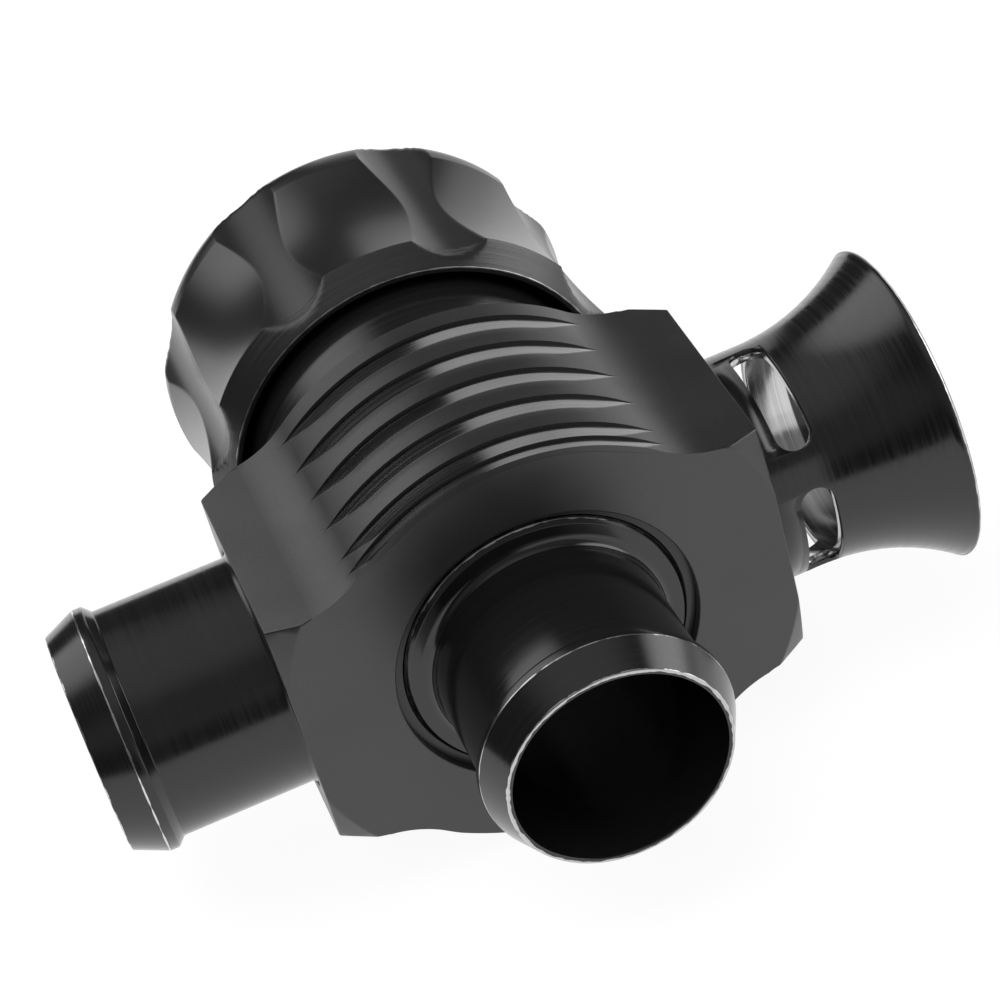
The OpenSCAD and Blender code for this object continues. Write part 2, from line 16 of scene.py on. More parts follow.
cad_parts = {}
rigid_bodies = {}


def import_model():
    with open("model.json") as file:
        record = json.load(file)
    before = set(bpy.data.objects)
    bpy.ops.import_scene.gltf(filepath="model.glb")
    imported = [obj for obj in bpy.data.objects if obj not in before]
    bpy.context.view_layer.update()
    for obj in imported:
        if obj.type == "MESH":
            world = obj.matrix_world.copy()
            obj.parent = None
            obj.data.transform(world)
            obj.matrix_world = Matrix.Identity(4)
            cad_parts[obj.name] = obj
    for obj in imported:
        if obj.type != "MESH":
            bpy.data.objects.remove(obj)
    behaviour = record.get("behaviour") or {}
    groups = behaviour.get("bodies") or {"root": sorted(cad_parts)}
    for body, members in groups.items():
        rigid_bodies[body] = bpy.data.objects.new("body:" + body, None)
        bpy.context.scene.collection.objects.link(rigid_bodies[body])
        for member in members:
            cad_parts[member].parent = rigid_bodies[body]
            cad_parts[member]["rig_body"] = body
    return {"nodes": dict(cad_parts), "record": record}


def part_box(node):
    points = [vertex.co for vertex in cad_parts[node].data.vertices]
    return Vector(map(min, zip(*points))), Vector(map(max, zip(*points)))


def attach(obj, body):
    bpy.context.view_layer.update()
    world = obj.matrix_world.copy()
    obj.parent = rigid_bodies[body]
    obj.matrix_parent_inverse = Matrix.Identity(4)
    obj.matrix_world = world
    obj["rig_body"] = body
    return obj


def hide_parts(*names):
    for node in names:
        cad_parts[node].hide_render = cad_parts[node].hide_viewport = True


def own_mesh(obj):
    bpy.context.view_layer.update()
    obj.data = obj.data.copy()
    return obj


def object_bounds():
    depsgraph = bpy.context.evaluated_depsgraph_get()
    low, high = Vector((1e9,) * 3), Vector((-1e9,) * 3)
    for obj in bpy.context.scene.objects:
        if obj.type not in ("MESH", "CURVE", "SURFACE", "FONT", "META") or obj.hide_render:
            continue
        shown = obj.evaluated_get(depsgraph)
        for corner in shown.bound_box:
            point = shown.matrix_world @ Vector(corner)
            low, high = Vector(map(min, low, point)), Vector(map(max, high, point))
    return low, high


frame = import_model()
cad_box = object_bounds()
nodes = frame["nodes"]
MM = 0.001


def box_mm(node):
    return [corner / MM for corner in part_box(node)]


print("nodes:", len(nodes), "box:", [[round(v, 4) for v in corner] for corner in cad_box])

# %% [markdown]
# ## The camera
# The photograph was taken with a long lens from above the inlet, rolled a little. The place and
# the three directions come from a fit to circles and edges that the photograph shows, so the
# render can be laid over it.

# %% Camera
scene = bpy.context.scene
scene.view_settings.view_transform = "Standard"

CAMERA_PLACE = Vector((-0.0381, -0.2142, 0.2079))
CAMERA_RIGHT = Vector((0.9163, -0.3318, -0.2242))
CAMERA_UP = Vector((0.3804, 0.5462, 0.7463))
SENSOR_WIDTH = 36.0
FOCAL_PIXELS = 3074.6
IMAGE_WIDTH = 1000

camera_data = bpy.data.cameras.new("camera")
camera_data.sensor_fit = "HORIZONTAL"
camera_data.sensor_width = SENSOR_WIDTH
camera_data.lens = FOCAL_PIXELS / IMAGE_WIDTH * SENSOR_WIDTH
camera_data.clip_start = 0.01
camera = bpy.data.objects.new("camera", camera_data)
right = CAMERA_RIGHT.normalized()
back = right.cross(CAMERA_UP).normalized()
up = back.cross(right)
camera_turn = Matrix((right, up, back)).transposed().to_4x4()
camera.matrix_world = Matrix.Translation(CAMERA_PLACE) @ camera_turn
scene.collection.objects.link(camera)
scene.camera = camera
print("lens:", round(camera_data.lens, 1), "mm")

# %% [markdown]
# ## Small helpers for node trees
# Materials and Geometry Nodes are both trees of nodes, so one helper makes a node, sets its
# properties and feeds its inputs, either with a value or from another node's output. The others
# are short forms of it for sums, ramps and colours.

# %% Node helpers
def add_node(tree, kind, inputs=None, **settings):
    made = tree.nodes.new(kind)
    for name, value in settings.items():
        setattr(made, name, value)
    for key, value in (inputs or {}).items():
        socket = made.inputs[key]
        if isinstance(value, bpy.types.NodeSocket):
            tree.links.new(value, socket)
        else:
            socket.default_value = value
    return made


def math_node(tree, operation, *values):
    return add_node(tree, "ShaderNodeMath", dict(enumerate(values)), operation=operation).outputs[0]


def vector_value(tree, operation, *vectors):
    inputs = dict(enumerate(vectors))
    return add_node(tree, "ShaderNodeVectorMath", inputs, operation=operation).outputs["Value"]


def squared(tree, value):
    return math_node(tree, "POWER", value, 2.0)


def hypotenuse(tree, one, two):
    return math_node(tree, "SQRT", math_node(tree, "ADD", squared(tree, one), squared(tree, two)))


def ramp(tree, value, low, high, to_low=0.0, to_high=1.0):
    made = add_node(tree, "ShaderNodeMapRange", {"Value": value, "From Min": low, "From Max": high,
                                                 "To Min": to_low, "To Max": to_high})
    made.interpolation_type = "SMOOTHSTEP"
    return made.outputs["Result"]


def up_to(tree, value, end, fade):
    """1 up to a place in mm and 0 past it, with a short fade before the place."""
    return ramp(tree, value, (end - fade) * MM, end * MM, 1, 0)


# %% Colour helpers
COLOUR_A, COLOUR_B, COLOUR_OUT = 6, 7, 2


def blend_colours(tree, factor, low, high):
    made = add_node(tree, "ShaderNodeMix", {0: factor, COLOUR_A: low, COLOUR_B: high}, data_type="RGBA")
    return made.outputs[COLOUR_OUT]


def mix_colour(tree, factor, low, high):
    return blend_colours(tree, factor, (*low, 1.0), (*high, 1.0))


def varied(tree, tone, colour, share):
    """A colour that runs from a share darker to a share paler."""
    low, high = [[channel * level for channel in colour] for level in (1 - share, 1 + share)]
    return mix_colour(tree, tone, low, high)


def new_material(name):
    material = bpy.data.materials.new(name)
    material.use_nodes = True
    tree = material.node_tree
    return material, tree, tree.nodes["Principled BSDF"]


# %% [markdown]
# ## Finishes
# The whole valve is anodised black, a hard coat that mirrors its surroundings like dark glass. What
# differs from face to face is how it was cut before: lands and wings came off a mill with a fine
# satin grain, barbs and trumpet off a lathe with hair-fine rings. Two shader groups hold those two
# effects, a third one thin pale rings at corners, partly worn bright by handling and partly painted
# highlights, and each material places them with its own values.

# %% Grain and turning groups
FLOAT, VECTOR = "NodeSocketFloat", "NodeSocketVector"


def shader_group(name, inputs, outputs):
    """A group with these inputs, each a (label, kind), and these outputs, which are all plain values."""
    group = bpy.data.node_groups.new(name, "ShaderNodeTree")
    for label, kind in inputs:
        group.interface.new_socket(label, in_out="INPUT", socket_type=kind)
    for label in outputs:
        group.interface.new_socket(label, in_out="OUTPUT", socket_type=FLOAT)
    given = group.nodes.new("NodeGroupInput").outputs
    return group, given, group.nodes.new("NodeGroupOutput").inputs


def group_node(tree, group, **values):
    return add_node(tree, "ShaderNodeGroup", values, node_tree=group).outputs


def make_grain_group():
    group, given, out = shader_group("satin_grain", [("Place", VECTOR), ("Grain", FLOAT)],
                                     ["Tone", "Height", "Cloud"])
    grain = add_node(group, "ShaderNodeTexNoise", {"Vector": given["Place"], "Scale": given["Grain"],
                                                   "Detail": 3.0, "Roughness": 0.7})
    cloud = add_node(group, "ShaderNodeTexNoise", {"Vector": given["Place"], "Scale": 90.0, "Detail": 2.0})
    group.links.new(ramp(group, grain.outputs["Fac"], 0.3, 0.7), out["Tone"])
    group.links.new(grain.outputs["Fac"], out["Height"])
    group.links.new(cloud.outputs["Fac"], out["Cloud"])
    return group


def along_and_across(group, place, axis):
    """How far a place lies along an axis through the origin, and how far off it."""
    along = vector_value(group, "DOT_PRODUCT", place, axis)
    length = vector_value(group, "LENGTH", place)
    rest = math_node(group, "SUBTRACT", squared(group, length), squared(group, along))
    return along, math_node(group, "SQRT", math_node(group, "MAXIMUM", 0.0, rest))


def make_turning_group():
    group, given, out = shader_group(
        "turning_rings", [("Place", VECTOR), ("Along", VECTOR), ("Rings", FLOAT)], ["Tone", "Height"])
    along, across = along_and_across(group, given["Place"], given["Along"])
    spot = add_node(group, "ShaderNodeCombineXYZ", {"X": along, "Y": across})
    rings = add_node(group, "ShaderNodeTexNoise", {"Vector": spot.outputs[0], "Scale": given["Rings"],
                                                   "Detail": 4.0, "Roughness": 0.65}, noise_dimensions="2D")
    group.links.new(ramp(group, rings.outputs["Fac"], 0.35, 0.65), out["Tone"])
    group.links.new(rings.outputs["Fac"], out["Height"])
    return group


# %% Worn and highlight ring group
# The rings are pale metal laid on edges: partly wear, partly painted highlights of the thin bright lines
# those edges catch.
RING_BREAK_SCALE = 700.0
NARROWEST, WIDEST = 0.55, 1.3


def make_worn_and_highlight_ring_group():
    """A thin pale ring round the axis at a corner: partly wear to bright metal, partly a painted highlight.
    """
    group, given, out = shader_group(
        "worn_and_highlight_ring", [("Place", VECTOR), ("Along", VECTOR), ("At", FLOAT), ("Radius", FLOAT),
                      ("Width", FLOAT)], ["Mask"])
    along, across = along_and_across(group, given["Place"], given["Along"])
    gap = hypotenuse(group, math_node(group, "SUBTRACT", along, given["At"]),
                     math_node(group, "SUBTRACT", across, given["Radius"]))
    ring_breaks = add_node(group, "ShaderNodeTexNoise", {"Vector": given["Place"], "Scale": RING_BREAK_SCALE,
                                                   "Detail": 3.0})
    uneven = ramp(group, ring_breaks.outputs["Fac"], 0.35, 0.65, NARROWEST, WIDEST)
    width = math_node(group, "MULTIPLY", given["Width"], uneven)
    group.links.new(ramp(group, math_node(group, "DIVIDE", gap, width), 0.7, 1.0, 1.0, 0.0), out["Mask"])
    return group


grain_group = make_grain_group()
turning_group = make_turning_group()
worn_and_highlight_ring_group = make_worn_and_highlight_ring_group()
print("shader groups:", grain_group.name, turning_group.name, worn_and_highlight_ring_group.name)

# %% [markdown]
# Each finish below is one Principled shader. The coat's mirror is the shader's own specular layer,
# so only base colour, roughness and a faint bump change over the surface. At corners worn by
# handling the shader turns to pale metal, which also stands as a painted highlight there, and inside
# the trumpet's bore pale metal is a painted reflection.

# %% Bare metal and painted light
SIDE_AXIS_Y = sum(corner.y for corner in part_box("recirculation_barb")) / 2
ALONG_MAIN, ALONG_SIDE = (0.0, 1.0, 0.0), (1.0, 0.0, 0.0)
BORE_WALL_FADE, BORE_END_FADE = 0.05, 0.2


def place_on_axis(tree, along):
    coords = add_node(tree, "ShaderNodeTexCoord").outputs["Object"]
    shift = (0.0, -SIDE_AXIS_Y, 0.0) if along == ALONG_SIDE else (0.0, 0.0, 0.0)
    return add_node(tree, "ShaderNodeMapping", {"Vector": coords, "Location": shift}).outputs[0]


def worn_metal_and_painted_light(tree, place, along, worn_and_highlit, bore_reflection):
    """A mask of the pale metal: corners worn by handling, which are also painted highlights, and the
    trumpet's bore, a painted reflection; None where there is neither.
    """
    masks = [group_node(tree, worn_and_highlight_ring_group, Place=place, Along=along, At=at * MM, Radius=radius * MM,
                        Width=width * MM)["Mask"] for at, radius, width in worn_and_highlit]
    if bore_reflection:
        bore_r, bore_end = bore_reflection
        run, across = along_and_across(tree, place, along)
        inside = up_to(tree, across, bore_r + BORE_WALL_FADE, BORE_WALL_FADE)
        masks.append(math_node(tree, "MULTIPLY", inside, up_to(tree, run, bore_end, BORE_END_FADE)))
    worn_and_painted_light = masks[0] if masks else None
    for mask in masks[1:]:
        worn_and_painted_light = math_node(tree, "MAXIMUM", worn_and_painted_light, mask)
    return worn_and_painted_light


print("side axis at", round(SIDE_AXIS_Y, 4))

# %% Turned finish
COAT_IOR, FINE_RINGS, RIDGE_FADE = 1.58, 3000.0, 0.1
# Pale metal for worn corners and the trumpet's bore: partly wear, partly painted highlights and a painted
# reflection.
WEAR_AND_HIGHLIGHT_DARK, WEAR_AND_HIGHLIGHT_PALE = (0.5, 0.5, 0.5), (0.66, 0.66, 0.66)


def turned_finish(name, along, colour, roughness, contrast=0.1, metallic=0.0, worn_and_highlit=(), bore_reflection=None,
                  ridged=None):
    """Worn corners are (place along the axis, radius, width) in mm, pale metal rings that are partly wear
    and partly painted highlight. A bore reflection (radius, end) is pale metal inside that radius up to
    that place, a painted reflection, and ridges (height, end) stand up to that place."""
    material, tree, shader = new_material(name)
    place = place_on_axis(tree, along)
    turning = group_node(tree, turning_group, Place=place, Along=along, Rings=FINE_RINGS)
    tone = turning["Tone"]
    base = varied(tree, tone, colour, contrast)
    shader.inputs["Metallic"].default_value = metallic
    worn_and_painted_light = worn_metal_and_painted_light(tree, place, along, worn_and_highlit, bore_reflection)
    if worn_and_painted_light is not None:
        # Pale metal at worn corners, partly a painted highlight, and in the bore, a painted reflection.
        base = blend_colours(tree, worn_and_painted_light, base, mix_colour(tree, tone, WEAR_AND_HIGHLIGHT_DARK, WEAR_AND_HIGHLIGHT_PALE))
        tree.links.new(worn_and_painted_light, shader.inputs["Metallic"])
    tree.links.new(base, shader.inputs["Base Color"])
    rough = ramp(tree, tone, 0.0, 1.0, roughness * (1 - contrast), roughness * (1 + contrast))
    tree.links.new(rough, shader.inputs["Roughness"])
    shader.inputs["IOR"].default_value = COAT_IOR
    if ridged:
        height, ridge_end = ridged
        run = along_and_across(tree, place, along)[0]
        bump = add_node(tree, "ShaderNodeBump", {"Height": turning["Height"], "Distance": height * MM,
                                                 "Strength": up_to(tree, run, ridge_end, RIDGE_FADE)})
        tree.links.new(bump.outputs[0], shader.inputs["Normal"])
    return material


# %% [markdown]
# The body shows three cuts at once. Lands and wings are a warm satin with a sandy grain, the front
# face is a finer and cooler satin, and the groove floors are bright-cut, like a dark mirror. The
# material tells the front face by where it points and the neck by where it lies. The groove floors
# it knows from the depth of cut that their points carry, as an attribute of the mesh.

# %% Body finish
body_low, body_high = box_mm("valve_body")
FACE_Y = body_low.y
REAR_Y = 2 * SIDE_AXIS_Y / MM - FACE_Y
NECK_FROM, NECK_FULL = REAR_Y + 0.05, REAR_Y + 0.15
CUT_DEPTH, CUT_FULL = "cut_depth", 0.03
FRONT_FULL, FRONT_ENDS = -0.8, -0.6
SANDY_DARK, SANDY_PALE = (0.006, 0.0059, 0.0057), (0.021, 0.0206, 0.0201)
SMOOTH_DARK, SMOOTH_PALE = (0.019, 0.0193, 0.0202), (0.027, 0.0274, 0.0287)
BRIGHT_DARK, BRIGHT_PALE = (0.22, 0.22, 0.226), (0.31, 0.31, 0.316)
BLACK, NECK_CONTRAST = (0.009, 0.009, 0.0095), 0.15
BODY_GRAIN, BODY_RINGS, SATIN_IOR = 5200.0, 2600.0, 1.68
GRAIN_HEIGHT, GRAIN_STRENGTH = 0.006, 0.4


def body_finish(name):
    material, tree, shader = new_material(name)
    coords = add_node(tree, "ShaderNodeTexCoord").outputs
    place = add_node(tree, "ShaderNodeSeparateXYZ", {0: coords["Object"]}).outputs
    facing = add_node(tree, "ShaderNodeSeparateXYZ", {0: coords["Normal"]}).outputs["Y"]
    grain = group_node(tree, grain_group, Place=coords["Object"], Grain=BODY_GRAIN)
    turning = group_node(tree, turning_group, Place=coords["Object"], Along=ALONG_MAIN, Rings=BODY_RINGS)
    depth = add_node(tree, "ShaderNodeAttribute", attribute_name=CUT_DEPTH).outputs["Fac"]
    cut = math_node(tree, "MULTIPLY", ramp(tree, depth, 0.0, CUT_FULL),
                    ramp(tree, facing, FRONT_FULL, FRONT_ENDS))
    front = ramp(tree, facing, FRONT_FULL, FRONT_ENDS, 1, 0)
    neck = ramp(tree, place["Y"], NECK_FROM * MM, NECK_FULL * MM)
    satin = blend_colours(tree, front, mix_colour(tree, grain["Tone"], SANDY_DARK, SANDY_PALE),
                          mix_colour(tree, grain["Tone"], SMOOTH_DARK, SMOOTH_PALE))
    satin = blend_colours(tree, neck, satin, varied(tree, turning["Tone"], BLACK, NECK_CONTRAST))
    bright = mix_colour(tree, turning["Tone"], BRIGHT_DARK, BRIGHT_PALE)
    tree.links.new(blend_colours(tree, cut, satin, bright), shader.inputs["Base Color"])
    tree.links.new(cut, shader.inputs["Metallic"])
    shader.inputs["IOR"].default_value = SATIN_IOR
    gloss = math_node(tree, "MAXIMUM", cut, neck)
    satin_rough = ramp(tree, grain["Cloud"], 0.3, 0.7, 0.3, 0.38)
    cut_rough = ramp(tree, turning["Tone"], 0.0, 1.0, 0.14, 0.22)
    rough = add_node(tree, "ShaderNodeMix", {0: gloss, 2: satin_rough, 3: cut_rough}, data_type="FLOAT")
    tree.links.new(rough.outputs[0], shader.inputs["Roughness"])
    bump = add_node(tree, "ShaderNodeBump", {"Height": grain["Height"], "Distance": GRAIN_HEIGHT * MM,
                                             "Strength": ramp(tree, gloss, 0.0, 1.0, GRAIN_STRENGTH, 0.0)})
    tree.links.new(bump.outputs[0], shader.inputs["Normal"])
    return material


# %% [markdown]
# Worn corners sit where a hose or a hand rubs: round each mouth and bead, on the boss round the
# inlet, on the trumpet's lip and at the mouth of the cap. Their thin pale rings are also painted
# highlights, the bright lines that those edges catch.

# %% Anodised finishes
inlet_low, inlet_high = box_mm("inlet_barb")
recirculation_low, recirculation_high = box_mm("recirculation_barb")
cap_low, cap_high = box_mm("adjuster_cap")
LEAD_LEN, FLANGE_Y, BOSS_R, BOSS_CHAMFER = 3.6, 16.4, 15.3, 0.5
# Pale rings at these corners: partly wear, partly painted highlights.
WORN_AND_HIGHLIT_MOUTH_R, WORN_AND_HIGHLIT_BEAD_R = 11.7, 13.35
MAIN_WORN_AND_HIGHLIT = [(inlet_low.y, WORN_AND_HIGHLIT_MOUTH_R, 0.22), (inlet_low.y + LEAD_LEN, WORN_AND_HIGHLIT_BEAD_R, 0.08),
             (FLANGE_Y + BOSS_CHAMFER, BOSS_R, 0.2)]
SIDE_WORN_AND_HIGHLIT = [(recirculation_low.x, WORN_AND_HIGHLIT_MOUTH_R, 0.22),
             (recirculation_low.x + LEAD_LEN, WORN_AND_HIGHLIT_BEAD_R, 0.1)]
VENT_WORN_AND_HIGHLIT = [(46.6, 17.35, 0.16)]
CAP_WORN_AND_HIGHLIT = [(cap_low.y, 22.1, 0.1)]
CAP_RIDGES = (0.06, cap_low.y + 2.9)
# The trumpet's bore is painted pale metal up to 43 mm: a painted reflection of its bright inner wall.
TRUMPET_BORE_REFLECTION, TRUMPET_RIDGES = (11.9, 43.0), (0.006, 60.0)
CAP_BLACK = (0.016, 0.016, 0.0165)
finishes = {
    "body": body_finish("satin_anodised"),
    "cap": turned_finish("cap_anodised", ALONG_MAIN, CAP_BLACK, 0.25, contrast=0.03, worn_and_highlit=CAP_WORN_AND_HIGHLIT,
                         ridged=CAP_RIDGES),
    "main_barb": turned_finish("main_barb_anodised", ALONG_MAIN, BLACK, 0.16, worn_and_highlit=MAIN_WORN_AND_HIGHLIT),
    "side_barb": turned_finish("side_barb_anodised", ALONG_SIDE, BLACK, 0.18, worn_and_highlit=SIDE_WORN_AND_HIGHLIT),
    "trumpet": turned_finish("trumpet_anodised", ALONG_SIDE, BLACK, 0.18, contrast=0.2, worn_and_highlit=VENT_WORN_AND_HIGHLIT,
                             bore_reflection=TRUMPET_BORE_REFLECTION, ridged=TRUMPET_RIDGES),
}
print("anodised finishes:", sorted(finishes))

# %% [markdown]
# Inside and underneath there is rubber, bare metal and plastic. One function mottles a plain
# material a little, so that none of them is a flat tone.

# %% Plain finishes
PLAIN_GRAIN, ROUGH_SPREAD = 2400.0, 0.15


def mottled_finish(name, colour, roughness, metallic=0.0, spread=0.2):
    material, tree, shader = new_material(name)
    coords = add_node(tree, "ShaderNodeTexCoord").outputs["Object"]
    grain = group_node(tree, grain_group, Place=coords, Grain=PLAIN_GRAIN)
    tree.links.new(varied(tree, grain["Tone"], colour, spread), shader.inputs["Base Color"])
    rough = ramp(tree, grain["Cloud"], 0.3, 0.7, roughness * (1 - ROUGH_SPREAD),
                 roughness * (1 + ROUGH_SPREAD))
    tree.links.new(rough, shader.inputs["Roughness"])
    shader.inputs["Metallic"].default_value = metallic
    return material


finishes.update({
    "rubber": mottled_finish("seal_rubber_finish", (0.014, 0.014, 0.014), 0.55),
    "steel": mottled_finish("black_steel_finish", (0.03, 0.03, 0.032), 0.3, spread=0.1),
    "spring": mottled_finish("spring_steel_finish", (0.36, 0.35, 0.34), 0.28, metallic=1.0, spread=0.1),
    "aluminium": turned_finish("plain_aluminium_finish", ALONG_MAIN, (0.62, 0.62, 0.63), 0.3, metallic=1.0),
    "guide": mottled_finish("guide_plastic_finish", (0.55, 0.5, 0.4), 0.5, spread=0.06),
    "washer": mottled_finish("washer_plastic_finish", (0.75, 0.74, 0.7), 0.45, spread=0.05),
})
finish_of_slot = {"satin_anodised": "body", "cap_anodised": "cap", "gloss_anodised": "main_barb",
                  "turned_anodised": "trumpet", "black_steel": "steel", "spring_steel": "spring",
                  "plain_aluminium": "aluminium", "guide_plastic": "guide", "washer_plastic": "washer",
                  "seal_rubber": "rubber"}
slot_of = {entry["node"]: entry["material_slot"] for entry in frame["record"]["subparts"]}
for name, node in nodes.items():
    node.data.materials.clear()
    node.data.materials.append(finishes[finish_of_slot[slot_of[name]]])
print("finishes:", len(finishes), "nodes dressed:", len(nodes))

# %% [markdown]
# ## Turned pieces
# Barbs, cap and trumpet come off a lathe: one outline, spun round an axis. A Geometry Nodes tree
# does the spinning. It sweeps the outline round a circle, turns the result onto its axis and gives
# it its material, so each piece is only a list of corners with the radius that each corner is
# broken to.

# %% Rounded outline
ARC_STEP = math.radians(12)


def rounded_outline(corners):
    """Corners are (radius, along, break) in mm; each break becomes a small arc."""
    points = []
    for i, (r, a, broken) in enumerate(corners):
        here = Vector((r, a))
        if not broken:
            points.append(here)
            continue
        before = (Vector(corners[i - 1][:2]) - here).normalized()
        after = (Vector(corners[(i + 1) % len(corners)][:2]) - here).normalized()
        half = before.angle(after) / 2
        centre = here + (before + after).normalized() * broken / math.sin(half)
        start = here + before * broken / math.tan(half) - centre
        turn = math.pi - 2 * half
        if before.x * after.y - before.y * after.x > 0:
            turn = -turn
        count = max(2, math.ceil(abs(turn) / ARC_STEP))
        for k in range(count + 1):
            points.append(centre + Matrix.Rotation(turn * k / count, 2) @ start)
    return points


# %% [markdown]
# All trees here begin and end alike. They take a turn, a place and a finish beside their own sizes,
# and they end in real faces with that finish, so small helpers hold that beginning and that end.

# %% Beginning and end of a tree
OBJECT, COUNT, MATERIAL = "NodeSocketObject", "NodeSocketInt", "NodeSocketMaterial"
SHARED_INPUTS = [("Turn", VECTOR), ("Place", VECTOR), ("Finish", MATERIAL)]


def add_inputs(tree, inputs):
    for label, kind in inputs:
        tree.interface.new_socket(label, in_out="INPUT", socket_type=kind)


def geometry_tree(name, inputs):
    tree = bpy.data.node_groups.new(name, "GeometryNodeTree")
    add_inputs(tree, inputs + SHARED_INPUTS)
    tree.interface.new_socket("Piece", in_out="OUTPUT", socket_type="NodeSocketGeometry")
    return tree, tree.nodes.new("NodeGroupInput").outputs


def put_in_place(tree, given, geometry):
    return add_node(tree, "GeometryNodeTransform", {
        "Geometry": geometry, "Rotation": given["Turn"], "Translation": given["Place"]}).outputs["Geometry"]


def hand_out(tree, given, geometry):
    real = add_node(tree, "GeometryNodeRealizeInstances", {"Geometry": geometry})
    coated = add_node(tree, "GeometryNodeSetMaterial", {"Geometry": real.outputs["Geometry"],
                                                        "Material": given["Finish"]})
    out = tree.nodes.new("NodeGroupOutput")
    tree.links.new(coated.outputs["Geometry"], out.inputs["Piece"])
    return tree


# %% Lathe tree
LATHE_CIRCLE = 10 * MM


def make_lathe_tree():
    tree, given = geometry_tree("lathe", [("Outline", OBJECT), ("Steps", COUNT)])
    outline = add_node(tree, "GeometryNodeObjectInfo", {"Object": given["Outline"]}).outputs["Geometry"]
    circle = add_node(tree, "GeometryNodeCurvePrimitiveCircle", {"Resolution": given["Steps"],
                                                                 "Radius": LATHE_CIRCLE})
    spun = add_node(tree, "GeometryNodeCurveToMesh", {"Curve": circle.outputs["Curve"],
                                                      "Profile Curve": outline})
    return hand_out(tree, given, put_in_place(tree, given, spun.outputs["Mesh"]))


def outline_curve(name, corners):
    points = rounded_outline(corners)
    curve = bpy.data.curves.new(name, "CURVE")
    curve.dimensions = "3D"
    line = curve.splines.new("POLY")
    line.points.add(len(points) - 1)
    for spot, (r, a) in zip(line.points, points):
        spot.co = (r * MM - LATHE_CIRCLE, -a * MM, 0, 1)
    line.use_cyclic_u = True
    made = bpy.data.objects.new(name, curve)
    scene.collection.objects.link(made)
    return made


lathe_tree = make_lathe_tree()
print("lathe nodes:", len(lathe_tree.nodes))

# %% [markdown]
# A tree works on a carrier, an object with an empty mesh. What it gives is then turned into a plain
# mesh, because the frame's calls need an object without a live tree.

# %% From tree to mesh
MERGE_DISTANCE = 1e-7


def plain_mesh(carrier, name):
    """The evaluated carrier as a plain mesh object, with doubles merged and faces outwards."""
    depsgraph = bpy.context.evaluated_depsgraph_get()
    depsgraph.update()
    mesh = bpy.data.meshes.new_from_object(carrier.evaluated_get(depsgraph), depsgraph=depsgraph)
    mesh.name = name
    bpy.data.objects.remove(carrier)
    shape = bmesh.new()
    shape.from_mesh(mesh)
    bmesh.ops.remove_doubles(shape, verts=shape.verts, dist=MERGE_DISTANCE)
    bmesh.ops.recalc_face_normals(shape, faces=shape.faces)
    for face in shape.faces:
        face.smooth = True
    shape.to_mesh(mesh)
    shape.free()
    piece = bpy.data.objects.new(name, mesh)
    scene.collection.objects.link(piece)
    print(name, "faces:", len(mesh.polygons))
    return piece


def run_tree(tree, name, **values):
    carrier = bpy.data.objects.new(name + "_carrier", bpy.data.meshes.new(name + "_carrier"))
    scene.collection.objects.link(carrier)
    modifier = carrier.modifiers.new("nodes", "NODES")
    modifier.node_group = tree
    identifiers = {item.name: item.identifier for item in tree.interface.items_tree}
    for label, value in values.items():
        modifier[identifiers[label]] = value
    return plain_mesh(carrier, name)


# %% Turned pieces
QUARTER = math.pi / 2
TO_CAP, TO_VENT, TO_RECIRCULATION = (-QUARTER, 0.0, 0.0), (0.0, QUARTER, 0.0), (0.0, -QUARTER, 0.0)
LATHE_STEPS = 240


def turned_piece(name, corners, turn, place, finish):
    outline = outline_curve(name + "_outline", corners)
    piece = run_tree(lathe_tree, name, Outline=outline, Steps=LATHE_STEPS, Turn=turn, Place=place,
                     Finish=finish)
    bpy.data.objects.remove(outline)
    even = piece.modifiers.new("even_normals", "WEIGHTED_NORMAL")
    even.keep_sharp = False
    return piece


# %% [markdown]
# ### Hose barbs
# A hose barb is a thin tube with a bead near its mouth. The two barbs share their hose end, and only
# their feet differ: the inlet has a chamfered boss over a disc, the recirculation barb a slim collar.

# %% Inlet barb
TUBE_R, TUBE_IN_R, BEAD_R, MOUTH_R = 12.5, 11.2, 13.4, 11.8
BEAD_LAND, BEAD_RISE = 1.0, 0.9
MOUTH_IN_BREAK, MOUTH_BREAK, BEAD_BREAK, BEAD_FILLET = 0.15, 0.2, 0.35, 0.3
BOSS_BREAK, BOSS_FILLET, FOOT_BREAK = 0.12, 1.2, 0.1


def hose_end(mouth, way):
    """Corners from the inside of the mouth to the tube behind the bead; way is +1 or -1 along the axis."""
    land = mouth + way * LEAD_LEN
    land_end = land + way * BEAD_LAND
    return [(TUBE_IN_R, mouth, MOUTH_IN_BREAK), (MOUTH_R, mouth, MOUTH_BREAK), (BEAD_R, land, BEAD_BREAK),
            (BEAD_R, land_end, BEAD_BREAK), (TUBE_R, land_end + way * BEAD_RISE, BEAD_FILLET)]


DISC_Y, SHELF_Y, SEAT_R = 18.2, 19.9, 14.1
disc_r = inlet_high.x
inlet_corners = hose_end(inlet_low.y, 1) + [
    (TUBE_R, FLANGE_Y, BOSS_FILLET), (BOSS_R - BOSS_CHAMFER, FLANGE_Y, BOSS_BREAK),
    (BOSS_R, FLANGE_Y + BOSS_CHAMFER, BOSS_BREAK), (BOSS_R, DISC_Y, 0), (disc_r, DISC_Y, 0),
    (disc_r, SHELF_Y, 0), (SEAT_R, SHELF_Y, 0), (SEAT_R, inlet_high.y, FOOT_BREAK),
    (TUBE_IN_R, inlet_high.y, FOOT_BREAK)]
inlet_barb = turned_piece("inlet_barb_turned", inlet_corners, TO_CAP, (0, 0, 0), finishes["main_barb"])

# %% [markdown]
# The recirculation barb points away from the main axis, so its corners are measured outwards from
# there. The trumpet has the same collar, and its foot is the same list read backwards.

